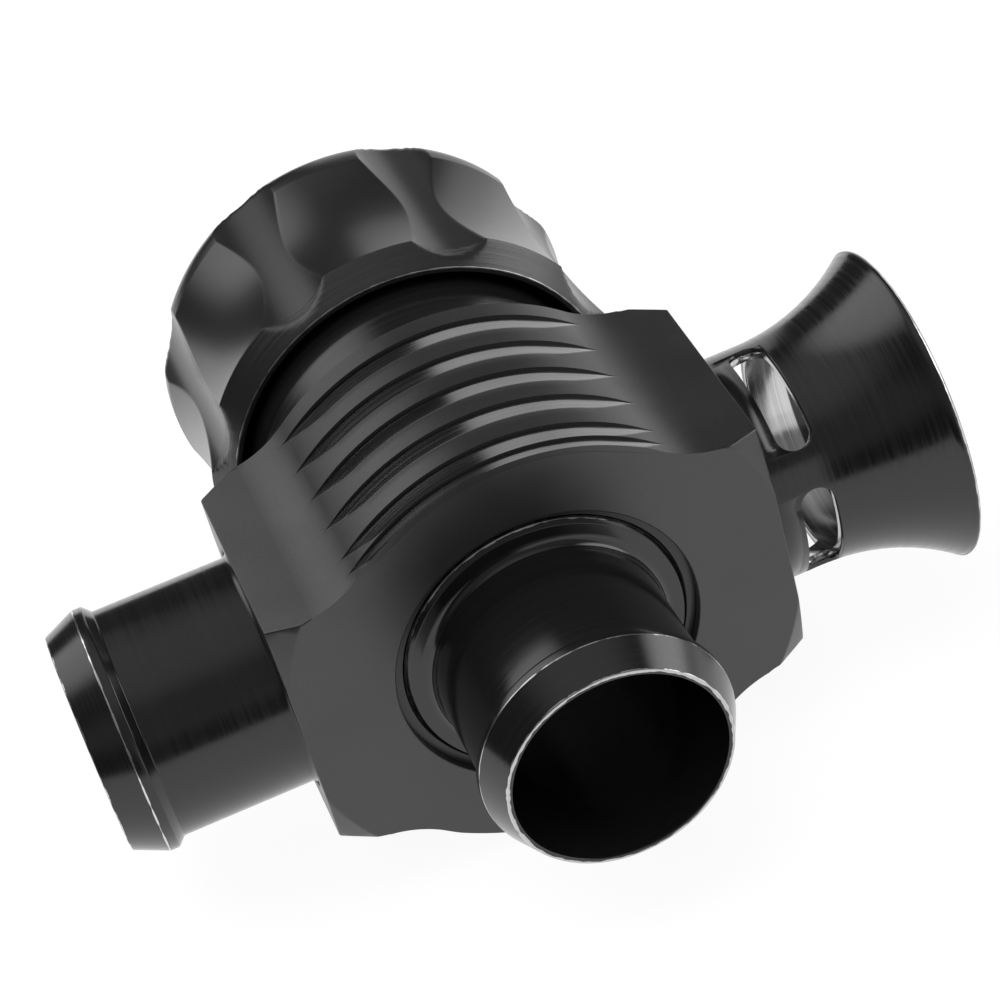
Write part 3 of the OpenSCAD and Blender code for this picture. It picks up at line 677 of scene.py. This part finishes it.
# %% Side collar and recirculation barb
COLLAR_R, COLLAR_T, COLLAR_SINK, SPIGOT_R = 13.25, 2.6, 0.3, 12.1
COLLAR_FILLET, COLLAR_BREAK = 0.7, 0.1
side_flat = body_high.x
collar_top = side_flat - COLLAR_SINK
collar_foot = collar_top - COLLAR_T


def collar(end):
    return [(TUBE_R, collar_top, COLLAR_FILLET), (COLLAR_R, collar_top, COLLAR_BREAK),
            (COLLAR_R, collar_foot, 0), (SPIGOT_R, collar_foot, 0), (SPIGOT_R, end, FOOT_BREAK),
            (TUBE_IN_R, end, FOOT_BREAK)]


recirculation_corners = hose_end(-recirculation_low.x, -1) + collar(-recirculation_high.x)
recirculation_barb = turned_piece("recirculation_barb_turned", recirculation_corners, TO_RECIRCULATION,
                                  (0, SIDE_AXIS_Y, 0), finishes["side_barb"])

# %% [markdown]
# ### Adjuster cap
# The cap starts as a turned piece with a slim waist between two grip edges. Round flutes are then
# milled along it. Flutes repeat round the axis, so the tree only needs the angle to the nearest
# flute: where the flute's wall lies inside the turned skin, the skin is pulled in to it. A soft
# minimum breaks the edge between the two, as tumbling does on the real cap.

# %% Cap outline
CAP_R, CAP_RIM_R, CAP_MOUTH_R, CAP_THREAD_R = 24.2, 22.15, 21.5, 19.45
CAVITY_R, NIPPLE_HOLE_R, CAP_WALL = 17.45, 4.85, 3.4
CAP_CONE, WAIST_DEPTH, CROWN_R, CROWN_LAND = 3.0, 1.1, 4.4, 1.0
THREAD_START, THREAD_END = 4.0, 14.0
CAP_MOUTH_BREAK, CAP_RIM_BREAK, GRIP_BREAK, NIPPLE_HOLE_BREAK = 0.1, 0.15, 0.15, 0.2
WAIST_ROWS, CONE_ROWS, CROWN_ROWS = 40, 6, 12
cap_len = cap_high.y - cap_low.y
cap_floor = cap_len - CAP_WALL
grip_high = cap_len - CROWN_R - CROWN_LAND


def cone(share):
    return CAP_RIM_R + (CAP_R - CAP_RIM_R) * share, CAP_CONE * share, 0


def waist(share):
    half = (grip_high - CAP_CONE) / 2
    bow = (half ** 2 + WAIST_DEPTH ** 2) / (2 * WAIST_DEPTH)
    off = half * (2 * share - 1)
    return CAP_R - WAIST_DEPTH + bow - math.sqrt(bow ** 2 - off ** 2), CAP_CONE + half + off, 0


def crown(share):
    angle = share * QUARTER
    return CAP_R - CROWN_R + CROWN_R * math.cos(angle), cap_len - CROWN_R + CROWN_R * math.sin(angle), 0


def between(curve, rows):
    return [curve(k / rows) for k in range(1, rows)]


cap_corners = (
    [(CAP_MOUTH_R, 0, CAP_MOUTH_BREAK), (CAP_RIM_R, 0, CAP_RIM_BREAK)] + between(cone, CONE_ROWS)
    + [(CAP_R, CAP_CONE, GRIP_BREAK)] + between(waist, WAIST_ROWS) + [(CAP_R, grip_high, GRIP_BREAK)]
    + [crown(0)] + between(crown, CROWN_ROWS) + [crown(1)]
    + [(NIPPLE_HOLE_R, cap_len, NIPPLE_HOLE_BREAK), (NIPPLE_HOLE_R, cap_floor, 0), (CAVITY_R, cap_floor, 0),
       (CAVITY_R, THREAD_END, 0), (CAP_THREAD_R, THREAD_END, 0), (CAP_THREAD_R, THREAD_START, 0),
       (CAP_MOUTH_R, THREAD_START, 0)])
print("cap corners:", len(cap_corners), "length:", round(cap_len, 2), "mm")


# %% Fluted lathe tree
def make_fluted_tree():
    """The lathe's tree once more, with the flutes cut in between spinning and placing."""
    tree = lathe_tree.copy()
    tree.name = "fluted_lathe"
    add_inputs(tree, [("Flutes", COUNT), ("Flute Radius", FLOAT), ("Flute Depth", FLOAT),
                      ("Skin Radius", FLOAT), ("Edge", FLOAT)])
    node_of = {node.bl_idname: node for node in tree.nodes}
    given = node_of["NodeGroupInput"].outputs
    spun = node_of["GeometryNodeCurveToMesh"].outputs["Mesh"]
    place = add_node(tree, "GeometryNodeInputPosition").outputs["Position"]
    xyz = add_node(tree, "ShaderNodeSeparateXYZ", {0: place}).outputs
    radius = hypotenuse(tree, xyz["X"], xyz["Y"])
    angle = math_node(tree, "ARCTAN2", xyz["Y"], xyz["X"])
    sector = math_node(tree, "DIVIDE", 2 * math.pi, given["Flutes"])
    off = math_node(tree, "SUBTRACT", math_node(tree, "FLOORED_MODULO", angle, sector),
                    math_node(tree, "DIVIDE", sector, 2.0))
    floor_r = math_node(tree, "SUBTRACT", given["Skin Radius"], given["Flute Depth"])
    axis_r = math_node(tree, "ADD", floor_r, given["Flute Radius"])
    aside = math_node(tree, "MULTIPLY", axis_r, math_node(tree, "SINE", off))
    room = math_node(tree, "SUBTRACT", squared(tree, given["Flute Radius"]), squared(tree, aside))
    wall = math_node(tree, "SUBTRACT", math_node(tree, "MULTIPLY", axis_r, math_node(tree, "COSINE", off)),
                     math_node(tree, "SQRT", math_node(tree, "MAXIMUM", 0.0, room)))
    pulled = math_node(tree, "SMOOTH_MIN", radius, wall, given["Edge"])
    factor = math_node(tree, "DIVIDE", pulled, radius)
    moved = add_node(tree, "ShaderNodeCombineXYZ", {
        "X": math_node(tree, "MULTIPLY", xyz["X"], factor),
        "Y": math_node(tree, "MULTIPLY", xyz["Y"], factor), "Z": xyz["Z"]}).outputs[0]
    fluted = add_node(tree, "GeometryNodeSetPosition", {"Geometry": spun, "Position": moved})
    tree.links.new(fluted.outputs["Geometry"], node_of["GeometryNodeTransform"].inputs["Geometry"])
    return tree


FLUTE_R, FLUTE_DEPTH, FLUTE_COUNT, FLUTE_EDGE = 9.2, 1.45, 8, 0.05
CAP_STEPS = 1000
cap_outline = outline_curve("cap_outline", cap_corners)
adjuster_cap = run_tree(make_fluted_tree(), "adjuster_cap_fluted", **{
    "Outline": cap_outline, "Steps": CAP_STEPS, "Turn": TO_CAP, "Place": (0, cap_low.y * MM, 0),
    "Finish": finishes["cap"], "Flutes": FLUTE_COUNT, "Flute Radius": FLUTE_R * MM,
    "Flute Depth": FLUTE_DEPTH * MM, "Skin Radius": CAP_R * MM, "Edge": FLUTE_EDGE * MM})
bpy.data.objects.remove(cap_outline)

# %% [markdown]
# ### Vent trumpet
# The trumpet is a thin turned horn with rounded slots through its base. The horn is spun by the
# lathe tree. A second tree lays slot-shaped cutters round the axis, and a boolean takes them out.

# %% Horn
RIM_R, LIP_R, TRUMPET_BASE, WALL = 17.5, 0.65, 5.0, 1.3
FLARE_ROWS, LIP_ROWS = 26, 10
trumpet_low, trumpet_high = box_mm("vent_trumpet")
flare_start = side_flat + TRUMPET_BASE
flare_run = trumpet_high.x - LIP_R - flare_start
flare_rise = RIM_R - TUBE_R
flare_bow = (flare_run ** 2 + flare_rise ** 2) / (2 * flare_rise)


def flare(share, inset):
    along = flare_run * share
    return TUBE_R + flare_bow - math.sqrt((flare_bow + inset) ** 2 - along ** 2), flare_start + along, 0


def lip(share):
    angle = math.pi * share
    return RIM_R - LIP_R + LIP_R * math.cos(angle), flare_start + flare_run + LIP_R * math.sin(angle), 0


outer_flare = [flare(k / FLARE_ROWS, 0) for k in range(FLARE_ROWS + 1)]
inner_flare = [flare(k / FLARE_ROWS, WALL) for k in range(FLARE_ROWS, -1, -1)]
trumpet_corners = collar(trumpet_low.x)[::-1] + outer_flare + between(lip, LIP_ROWS) + inner_flare
horn = turned_piece("vent_trumpet_horn", trumpet_corners, TO_VENT, (0, SIDE_AXIS_Y, 0), finishes["trumpet"])

# %% [markdown]
# A slot's cutter starts as a flat rounded bar. It is given a depth, bent round the axis and repeated.

# %% Slot cutter
SLOT_ROUND_STEPS, SLOT_OUTLINE_STEPS, CUTTER_MERGE = 8, 120, 1e-6


def add_slot_bar(tree, given):
    box = add_node(tree, "GeometryNodeCurvePrimitiveQuadrilateral", {"Width": given["Length"],
                                                                     "Height": given["Width"]})
    soft = add_node(tree, "GeometryNodeFilletCurve", {
        "Curve": box.outputs["Curve"], "Radius": given["Round"], "Count": SLOT_ROUND_STEPS,
        "Limit Radius": True}, mode="POLY")
    even = add_node(tree, "GeometryNodeResampleCurve", {"Curve": soft.outputs["Curve"],
                                                        "Count": SLOT_OUTLINE_STEPS})
    fill = add_node(tree, "GeometryNodeFillCurve", {"Curve": even.outputs["Curve"]}, mode="NGONS")
    flat = fill.outputs["Mesh"]
    raised = add_node(tree, "GeometryNodeExtrudeMesh", {"Mesh": flat, "Offset Scale": given["Depth"],
                                                        "Individual": False}).outputs["Mesh"]
    under = add_node(tree, "GeometryNodeFlipFaces", {"Mesh": flat}).outputs["Mesh"]
    both = add_node(tree, "GeometryNodeJoinGeometry")
    tree.links.new(raised, both.inputs["Geometry"])
    tree.links.new(under, both.inputs["Geometry"])
    return add_node(tree, "GeometryNodeMergeByDistance", {
        "Geometry": both.outputs["Geometry"], "Distance": CUTTER_MERGE}).outputs["Geometry"]


def add_bend(tree, given, bar):
    place = add_node(tree, "GeometryNodeInputPosition").outputs["Position"]
    xyz = add_node(tree, "ShaderNodeSeparateXYZ", {0: place}).outputs
    angle = math_node(tree, "DIVIDE", xyz["X"], given["Radius"])
    half = math_node(tree, "DIVIDE", given["Depth"], 2.0)
    out_r = math_node(tree, "ADD", math_node(tree, "SUBTRACT", given["Radius"], half), xyz["Z"])
    bent = add_node(tree, "ShaderNodeCombineXYZ", {
        "X": math_node(tree, "MULTIPLY", out_r, math_node(tree, "COSINE", angle)),
        "Y": math_node(tree, "MULTIPLY", out_r, math_node(tree, "SINE", angle)), "Z": xyz["Y"]}).outputs[0]
    return add_node(tree, "GeometryNodeSetPosition", {"Geometry": bar, "Position": bent}).outputs["Geometry"]


# %% Slots through the horn
def make_slot_tree():
    tree, given = geometry_tree("slotted_horn", [
        ("Horn", OBJECT), ("Slots", COUNT), ("Length", FLOAT), ("Width", FLOAT), ("Round", FLOAT),
        ("Radius", FLOAT), ("Depth", FLOAT), ("First", FLOAT)])
    cutter = add_bend(tree, given, add_slot_bar(tree, given))
    spots = add_node(tree, "GeometryNodeMeshLine", {"Count": given["Slots"], "Offset": (0.0, 0.0, 0.0)})
    index = add_node(tree, "GeometryNodeInputIndex").outputs["Index"]
    turn = math_node(tree, "ADD", given["First"], math_node(
        tree, "DIVIDE", math_node(tree, "MULTIPLY", index, 2 * math.pi), given["Slots"]))
    spin = add_node(tree, "ShaderNodeCombineXYZ", {"Z": turn}).outputs[0]
    round_axis = add_node(tree, "GeometryNodeInstanceOnPoints", {"Points": spots.outputs["Mesh"],
                                                                 "Instance": cutter, "Rotation": spin})
    cutters = add_node(tree, "GeometryNodeRealizeInstances", {"Geometry": round_axis.outputs["Instances"]})
    placed = put_in_place(tree, given, cutters.outputs["Geometry"])
    whole = add_node(tree, "GeometryNodeObjectInfo", {"Object": given["Horn"]}).outputs["Geometry"]
    cut = add_node(tree, "GeometryNodeMeshBoolean", {"Mesh 1": whole, "Mesh 2": placed},
                   operation="DIFFERENCE", solver="EXACT")
    return hand_out(tree, given, cut.outputs["Mesh"])


SLOT_COUNT, SLOT_W, SLOT_SPAN, SLOT_FIRST, SLOT_FROM_BODY = 4, 3.9, 52, 196, 4.6
SLOT_ROUND_SHARE, CUTTER_WALLS = 0.98, 4
slot_length = math.radians(SLOT_SPAN) * TUBE_R + SLOT_W
vent_trumpet = run_tree(
    make_slot_tree(), "vent_trumpet_slotted", Horn=horn, Slots=SLOT_COUNT, Length=slot_length * MM,
    Width=SLOT_W * MM, Round=SLOT_W / 2 * MM * SLOT_ROUND_SHARE, Radius=TUBE_R * MM,
    Depth=CUTTER_WALLS * WALL * MM, First=math.radians(SLOT_FIRST), Turn=TO_VENT,
    Place=((side_flat + SLOT_FROM_BODY) * MM, SIDE_AXIS_Y, 0), Finish=finishes["trumpet"])
bpy.data.objects.remove(horn)

# %% [markdown]
# ### Return spring
# The spring is hidden inside the body. A tree winds it: a spiral for the wire's middle line and a
# circle swept along it.

# %% Spring
TURN_STEPS, WIRE_STEPS = 48, 16


def make_spring_tree():
    tree, given = geometry_tree("wound_spring", [("Radius", FLOAT), ("Wire", FLOAT), ("Turns", FLOAT),
                                                 ("Length", FLOAT)])
    line = add_node(tree, "GeometryNodeCurveSpiral", {
        "Resolution": TURN_STEPS, "Rotations": given["Turns"], "Start Radius": given["Radius"],
        "End Radius": given["Radius"], "Height": given["Length"]})
    section = add_node(tree, "GeometryNodeCurvePrimitiveCircle", {
        "Resolution": WIRE_STEPS, "Radius": math_node(tree, "DIVIDE", given["Wire"], 2.0)})
    wound = add_node(tree, "GeometryNodeCurveToMesh", {
        "Curve": line.outputs["Curve"], "Profile Curve": section.outputs["Curve"], "Fill Caps": True})
    return hand_out(tree, given, put_in_place(tree, given, wound.outputs["Mesh"]))


SPRING_WIRE, SPRING_TURNS, PISTON_LIFT = 1.8, 8.0, 10.0
spring_low, spring_high = box_mm("return_spring")
spring_len = spring_high.y - spring_low.y
spring_r = (spring_high.x - spring_low.x - SPRING_WIRE) / 2
return_spring = run_tree(
    make_spring_tree(), "return_spring_wound", Radius=spring_r * MM, Wire=SPRING_WIRE * MM,
    Turns=SPRING_TURNS, Length=(spring_len - SPRING_WIRE) * MM, Turn=TO_CAP,
    Place=(0, (spring_low.y + SPRING_WIRE / 2) * MM, 0), Finish=finishes["spring"])

# %% [markdown]
# ### Body
# The block keeps the CAD's own shape. A copy of its mesh is merged, flat stretches are cleared of
# their triangles, and a Bevel breaks every sharp edge, because a sharp edge catches no light.
#
# Only the grooved crest is drawn anew, because a cutter leaves long thin points where each groove
# runs out. The crest is a grid: its columns follow the outline over the hump and the two hollows
# beside it, and its rows follow the saw teeth along the main axis. Each point sinks below the
# outline by the depth of the cut there, and keeps that depth for the finish.
#
# A wing slopes from the hump to its side flat. The hollow is a round cut that lies on the wing and
# only just bites the hump, which gives the place of its centre.

# %% Outline of the crest
HUMP_R, SIDE_Z = 24.3, 14.6
WING_ROOT, WING_RISE = math.radians(45), 1.7
HOLLOW_CUT_R, HOLLOW_BITE = 12.0, 0.04
wing_start = Vector((HUMP_R * math.sin(WING_ROOT), SIDE_Z + WING_RISE))
wing_way = (Vector((side_flat, SIDE_Z)) - wing_start).normalized()
wing_out = Vector((-wing_way.y, wing_way.x))
hollow_lift = wing_start.dot(wing_out) + HOLLOW_CUT_R
hollow_reach = HUMP_R + HOLLOW_CUT_R - HOLLOW_BITE
hollow_at = hollow_lift * wing_out + math.sqrt(hollow_reach ** 2 - hollow_lift ** 2) * wing_way
hollow_r = hollow_reach - HUMP_R
hollow_foot_x = (hollow_at - HOLLOW_CUT_R * wing_out).x
hump_edge_angle = math.atan2(hollow_at.x, hollow_at.y)
hump_edge = hump_edge_angle * HUMP_R


def along_hollow(x):
    return hump_edge + (hump_edge_angle - math.asin((hollow_at.x - x) / hollow_r)) * hollow_r


def outline_at(run):
    """The outline's point and outward direction, a run along it from the middle of the hump."""
    if run < hump_edge:
        out = Vector((math.sin(run / HUMP_R), math.cos(run / HUMP_R)))
        return HUMP_R * out, out
    angle = hump_edge_angle - (run - hump_edge) / hollow_r
    out = Vector((math.sin(angle), math.cos(angle)))
    return hollow_at - hollow_r * out, out


print("hollow centre:", [round(v, 3) for v in hollow_at], "foot:", round(hollow_foot_x, 4))

# %% [markdown]
# The columns lie closer where the grooves fade out, so that their points stay crisp.

# %% Columns of the crest
GROOVE_TIP_X, FADE = 17.4, 7.4
WIDE_STEP, FADE_STEP = 0.45, 0.12
groove_tip, hollow_foot = along_hollow(GROOVE_TIP_X), along_hollow(hollow_foot_x)
fade_start = groove_tip - FADE


def steps(low, high, size):
    count = max(1, math.ceil((high - low) / size))
    return [low + (high - low) * i / count for i in range(count)]


half_columns = (steps(0, fade_start, WIDE_STEP) + steps(fade_start, groove_tip, FADE_STEP)
                + steps(groove_tip, hollow_foot, WIDE_STEP) + [hollow_foot])
columns = [-run for run in reversed(half_columns[1:])] + half_columns
print("crest columns:", len(columns), "groove tip:", round(groove_tip, 2), "mm along")

# %% [markdown]
# A groove is deepest at its upright wall, and its floor slopes up to the land in front. Towards
# its ends the depth fades, so that floor and wall meet in a point. The first and the last row turn
# in behind the block's end faces, so that no gap shows along them.

# %% Saw teeth
GROOVE_COUNT, GROOVE_PITCH, GROOVE_W, GROOVE_DEPTH = 5, 5.27, 2.7, 0.34
REAR_LAND, FRONT_STEP, FADE_POWER = 2.4, 1.6, 1.5
TUCK, TUCK_DEPTH = 0.03, 1.3
FLOOR_STEP, LAND_STEP = 0.15, 0.9


def groove_depth(run):
    past = max(0.0, (abs(run) - fade_start) / FADE)
    return GROOVE_DEPTH * max(0.0, 1 - past * past) ** FADE_POWER


def tooth(run, ahead):
    """The depth of cut at a distance ahead of a groove's wall."""
    return max(0.0, groove_depth(run) - ahead * GROOVE_DEPTH / GROOVE_W)


def crest_rows():
    """Each row's place along the main axis, its distance ahead of a groove's wall, and its tuck.
    A land's distance is the groove's whole length, and a tucked row hides behind an end face."""
    step_wall = FACE_Y + FRONT_STEP
    rows = [(FACE_Y + TUCK, GROOVE_W, TUCK_DEPTH)]
    rows += [(y, step_wall - y, 0) for y in steps(FACE_Y, step_wall, FLOOR_STEP) + [step_wall]]
    for i in reversed(range(GROOVE_COUNT)):
        wall = REAR_Y - REAR_LAND - i * GROOVE_PITCH
        start = max(wall - GROOVE_W, step_wall)
        rows += [(y, wall - y, 0) for y in steps(start, wall, FLOOR_STEP) + [wall]]
        land_end = wall + GROOVE_PITCH - GROOVE_W if i else REAR_Y
        rows += [(y, GROOVE_W, 0) for y in steps(wall, land_end, LAND_STEP)]
    return rows + [(REAR_Y, GROOVE_W, 0), (REAR_Y - TUCK, GROOVE_W, TUCK_DEPTH)]


print("crest rows:", len(crest_rows()))

# %% [markdown]
# The grid is laid over the hump and once more below it. Its edges stay sharp where a floor meets a
# wall or a wall a land, and are shaded smooth where the fold is slight.

# %% Crest grid
CREASE = math.radians(9)
GRID_MERGE = 1e-6
CREST_MIN_Z, CREST_MIN_R, CREST_MARGIN = 14, 21, 0.01


def add_crest(shape, side):
    """Adds the grid above (side 1) or below (side -1) to a bmesh."""
    depth_of = shape.verts.layers.float[CUT_DEPTH]
    grid = []
    for y, ahead, tuck in crest_rows():
        line = []
        for run in columns:
            point, out = outline_at(abs(run))
            depth = tooth(run, ahead)
            place = point - (depth + tuck) * out
            vert = shape.verts.new((math.copysign(place.x, run) * MM, y * MM, side * place.y * MM))
            vert[depth_of] = depth
            line.append(vert)
        grid.append(line)
    faces = []
    for front, back in zip(grid, grid[1:]):
        for i in range(len(columns) - 1):
            ring = (front[i], front[i + 1], back[i + 1], back[i])
            faces.append(shape.faces.new(ring if side > 0 else ring[::-1]))
    bmesh.ops.remove_doubles(shape, verts=[vert for line in grid for vert in line], dist=GRID_MERGE)
    for face in faces:
        if face.is_valid:
            face.smooth = True
            for edge in face.edges:
                edge.smooth = not edge.is_manifold or edge.calc_face_angle() < CREASE


def is_crest(face):
    """Whether a face of the CAD's body belongs to the stretch that the grid takes over."""
    x, y, z = face.calc_center_median() / MM
    return (FACE_Y + CREST_MARGIN < y < REAR_Y - CREST_MARGIN and abs(x) < hollow_foot_x - CREST_MARGIN
            and abs(z) > CREST_MIN_Z and math.hypot(x, z) > CREST_MIN_R)


# %% [markdown]
# The Bevel works by edge weights, so that it rounds the CAD's edges and leaves the grid alone.

# %% Softened copies
EDGE_ANGLE, FLAT_ANGLE = math.radians(28), math.radians(0.3)
CAD_MERGE = 2e-6
BEVEL_SEGMENTS = 2
BODY_EDGE, NIPPLE_EDGE = 0.18, 0.15


def softened_mesh(node, name, new_crest):
    mesh = nodes[node].data.copy()
    mesh.name = name
    if "custom_normal" in mesh.attributes:
        mesh.attributes.remove(mesh.attributes["custom_normal"])
    shape = bmesh.new()
    shape.from_mesh(mesh)
    bmesh.ops.remove_doubles(shape, verts=shape.verts, dist=CAD_MERGE)
    if new_crest:
        bmesh.ops.delete(shape, geom=[face for face in shape.faces if is_crest(face)], context="FACES")
    bmesh.ops.dissolve_limit(shape, angle_limit=FLAT_ANGLE, verts=shape.verts, edges=shape.edges)
    weight = shape.edges.layers.float.new("bevel_weight_edge")
    for sharp in shape.edges:
        sharp[weight] = float(sharp.is_manifold and sharp.calc_face_angle() > EDGE_ANGLE)
    for face in shape.faces:
        face.smooth = True
    if new_crest:
        shape.verts.layers.float.new(CUT_DEPTH)
        add_crest(shape, 1)
        add_crest(shape, -1)
    shape.to_mesh(mesh)
    shape.free()
    return mesh


def softened(node, name, finish, edge, new_crest=False):
    mesh = softened_mesh(node, name, new_crest)
    mesh.materials.clear()
    mesh.materials.append(finish)
    piece = bpy.data.objects.new(name, mesh)
    scene.collection.objects.link(piece)
    bevel = piece.modifiers.new("broken_edges", "BEVEL")
    bevel.width = edge * MM
    bevel.segments = BEVEL_SEGMENTS
    bevel.limit_method = "WEIGHT"
    bevel.use_clamp_overlap = False
    bevel.miter_outer = "MITER_ARC"
    even = piece.modifiers.new("even_normals", "WEIGHTED_NORMAL")
    even.keep_sharp = True
    print(name, "faces before its bevel:", len(mesh.polygons))
    return piece


valve_body = softened("valve_body", "valve_body_softened", finishes["body"], BODY_EDGE, new_crest=True)
vacuum_nipple = softened("vacuum_nipple", "vacuum_nipple_softened", finishes["main_barb"], NIPPLE_EDGE)

# %% [markdown]
# Each new piece rides the body of the node that it stands for.

# %% Places on the frame
stands_for = {"valve_body": valve_body, "inlet_barb": inlet_barb, "recirculation_barb": recirculation_barb,
              "vent_trumpet": vent_trumpet, "adjuster_cap": adjuster_cap, "vacuum_nipple": vacuum_nipple,
              "return_spring": return_spring}
for node, piece in stands_for.items():
    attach(piece, nodes[node]["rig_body"])
    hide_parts(node)
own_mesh(return_spring)
print("replaced:", sorted(stands_for))

# %% [markdown]
# ## Studio
# The real valve lay on a white sweep. The floor is white for the camera and for reflections, and
# still takes a soft shadow.

# %% Floor
FLOOR_GAP = 0.0002
FLOOR_Z = cad_box[0][2] - FLOOR_GAP
FLOOR_RADIUS, FLOOR_STEPS = 0.4, 96
FLOOR_GREY, FLOOR_GLOW = (0.12, 0.12, 0.12, 1), 0.93


def make_floor():
    mesh = bpy.data.meshes.new("floor")
    disc = bmesh.new()
    bmesh.ops.create_circle(disc, cap_ends=True, segments=FLOOR_STEPS, radius=FLOOR_RADIUS)
    bmesh.ops.translate(disc, verts=disc.verts, vec=(0, 0, FLOOR_Z))
    disc.to_mesh(mesh)
    disc.free()
    floor = bpy.data.objects.new("floor", mesh)
    scene.collection.objects.link(floor)
    material, tree, shader = new_material("white_sweep")
    shader.inputs["Base Color"].default_value = FLOOR_GREY
    shader.inputs["Roughness"].default_value = 1.0
    shader.inputs["Specular IOR Level"].default_value = 0.0
    path = add_node(tree, "ShaderNodeLightPath").outputs
    seen = math_node(tree, "MAXIMUM", path["Is Camera Ray"],
                     math_node(tree, "MAXIMUM", path["Is Glossy Ray"], path["Is Transmission Ray"]))
    shader.inputs["Emission Color"].default_value = (1, 1, 1, 1)
    tree.links.new(math_node(tree, "MULTIPLY", seen, FLOOR_GLOW), shader.inputs["Emission Strength"])
    mesh.materials.append(material)


make_floor()
print("floor at", round(FLOOR_Z, 4))

# %% [markdown]
# Black gloss shows little but what it mirrors, so the room is drawn with care. It is dark, with a
# faint glow from the ceiling, a window low on the right whose upper edge slopes, two soft lights
# and a weak fill from the front. The camera itself sees plain white behind the part.

# %% Room
# Each of these is a ramp over one part of the direction: from, to, and the level at either end.
CEILING_BY_Z = (0.62, 1.0, 0.04, 0.47)
WINDOW_TOP_BY_X = (0.2, 0.5, 0.5, 0.3)
WINDOW_BY_X = (0.07, 0.14, 0.0, 0.85)
FILL_BY_Y, FILL_BY_Z = (-0.5, -0.1, 0.2, 0.0), (0.1, 0.4, 0.0, 1.0)
WINDOW_FADE = 0.12
# A soft light is its direction, the cosine at its edge, its level, and the Y past which it is cut off.
SOFT_LIGHTS = [((-0.5, 0.58, 0.64), 0.84, 1.75, 0.8), ((0.95, -0.05, 0.3), 0.9, 3.0, 1.0)]
LIGHT_CORE, CUT_OFF_FADE = 0.98, 0.06


def make_world():
    world = bpy.data.worlds.new("dark_room")
    scene.world = world
    world.use_nodes = True
    tree = world.node_tree
    background = tree.nodes["Background"]
    direction = add_node(tree, "ShaderNodeTexCoord").outputs["Generated"]
    way = add_node(tree, "ShaderNodeSeparateXYZ", {0: direction}).outputs
    above_top = math_node(tree, "SUBTRACT", way["Z"], ramp(tree, way["X"], *WINDOW_TOP_BY_X))
    window = math_node(tree, "MULTIPLY", ramp(tree, above_top, -WINDOW_FADE, 0.0, 1, 0),
                       ramp(tree, way["X"], *WINDOW_BY_X))
    front_fill = math_node(tree, "MULTIPLY", ramp(tree, way["Y"], *FILL_BY_Y),
                           ramp(tree, way["Z"], *FILL_BY_Z))
    glows = [window, front_fill]
    for towards, edge, level, far in SOFT_LIGHTS:
        near = vector_value(tree, "DOT_PRODUCT", direction, Vector(towards).normalized())
        within = ramp(tree, way["Y"], far, far + CUT_OFF_FADE, 1, 0)
        glows.append(math_node(tree, "MULTIPLY", within, ramp(tree, near, edge, LIGHT_CORE, 0, level)))
    room = ramp(tree, way["Z"], *CEILING_BY_Z)
    for glow in glows:
        room = math_node(tree, "MAXIMUM", room, glow)
    seen = add_node(tree, "ShaderNodeLightPath").outputs["Is Camera Ray"]
    tree.links.new(math_node(tree, "MAXIMUM", room, seen), background.inputs["Strength"])
    background.inputs["Color"].default_value = (1, 1, 1, 1)


make_world()
print("soft lights:", len(SOFT_LIGHTS))

# %% [markdown]
# One real lamp overhead lays the shadow under the part. Reflections don't show it, because the room
# above already holds what the gloss mirrors.

# %% Lamp
LAMP_PLACE, LAMP_TARGET = Vector((-0.3, -0.1, 1.0)), Vector((0, 0.03, 0))
LAMP_SIZE, LAMP_WATTS = 0.9, 7.0
light = bpy.data.lights.new("overhead_box", "AREA")
light.shape = "RECTANGLE"
light.size = LAMP_SIZE
light.size_y = LAMP_SIZE
light.energy = LAMP_WATTS
lamp = bpy.data.objects.new("overhead_box", light)
lamp.location = LAMP_PLACE
lamp.rotation_euler = (LAMP_TARGET - LAMP_PLACE).to_track_quat("-Z", "Y").to_euler()
lamp.visible_glossy = False
scene.collection.objects.link(lamp)
print("lamp:", light.energy, "W")
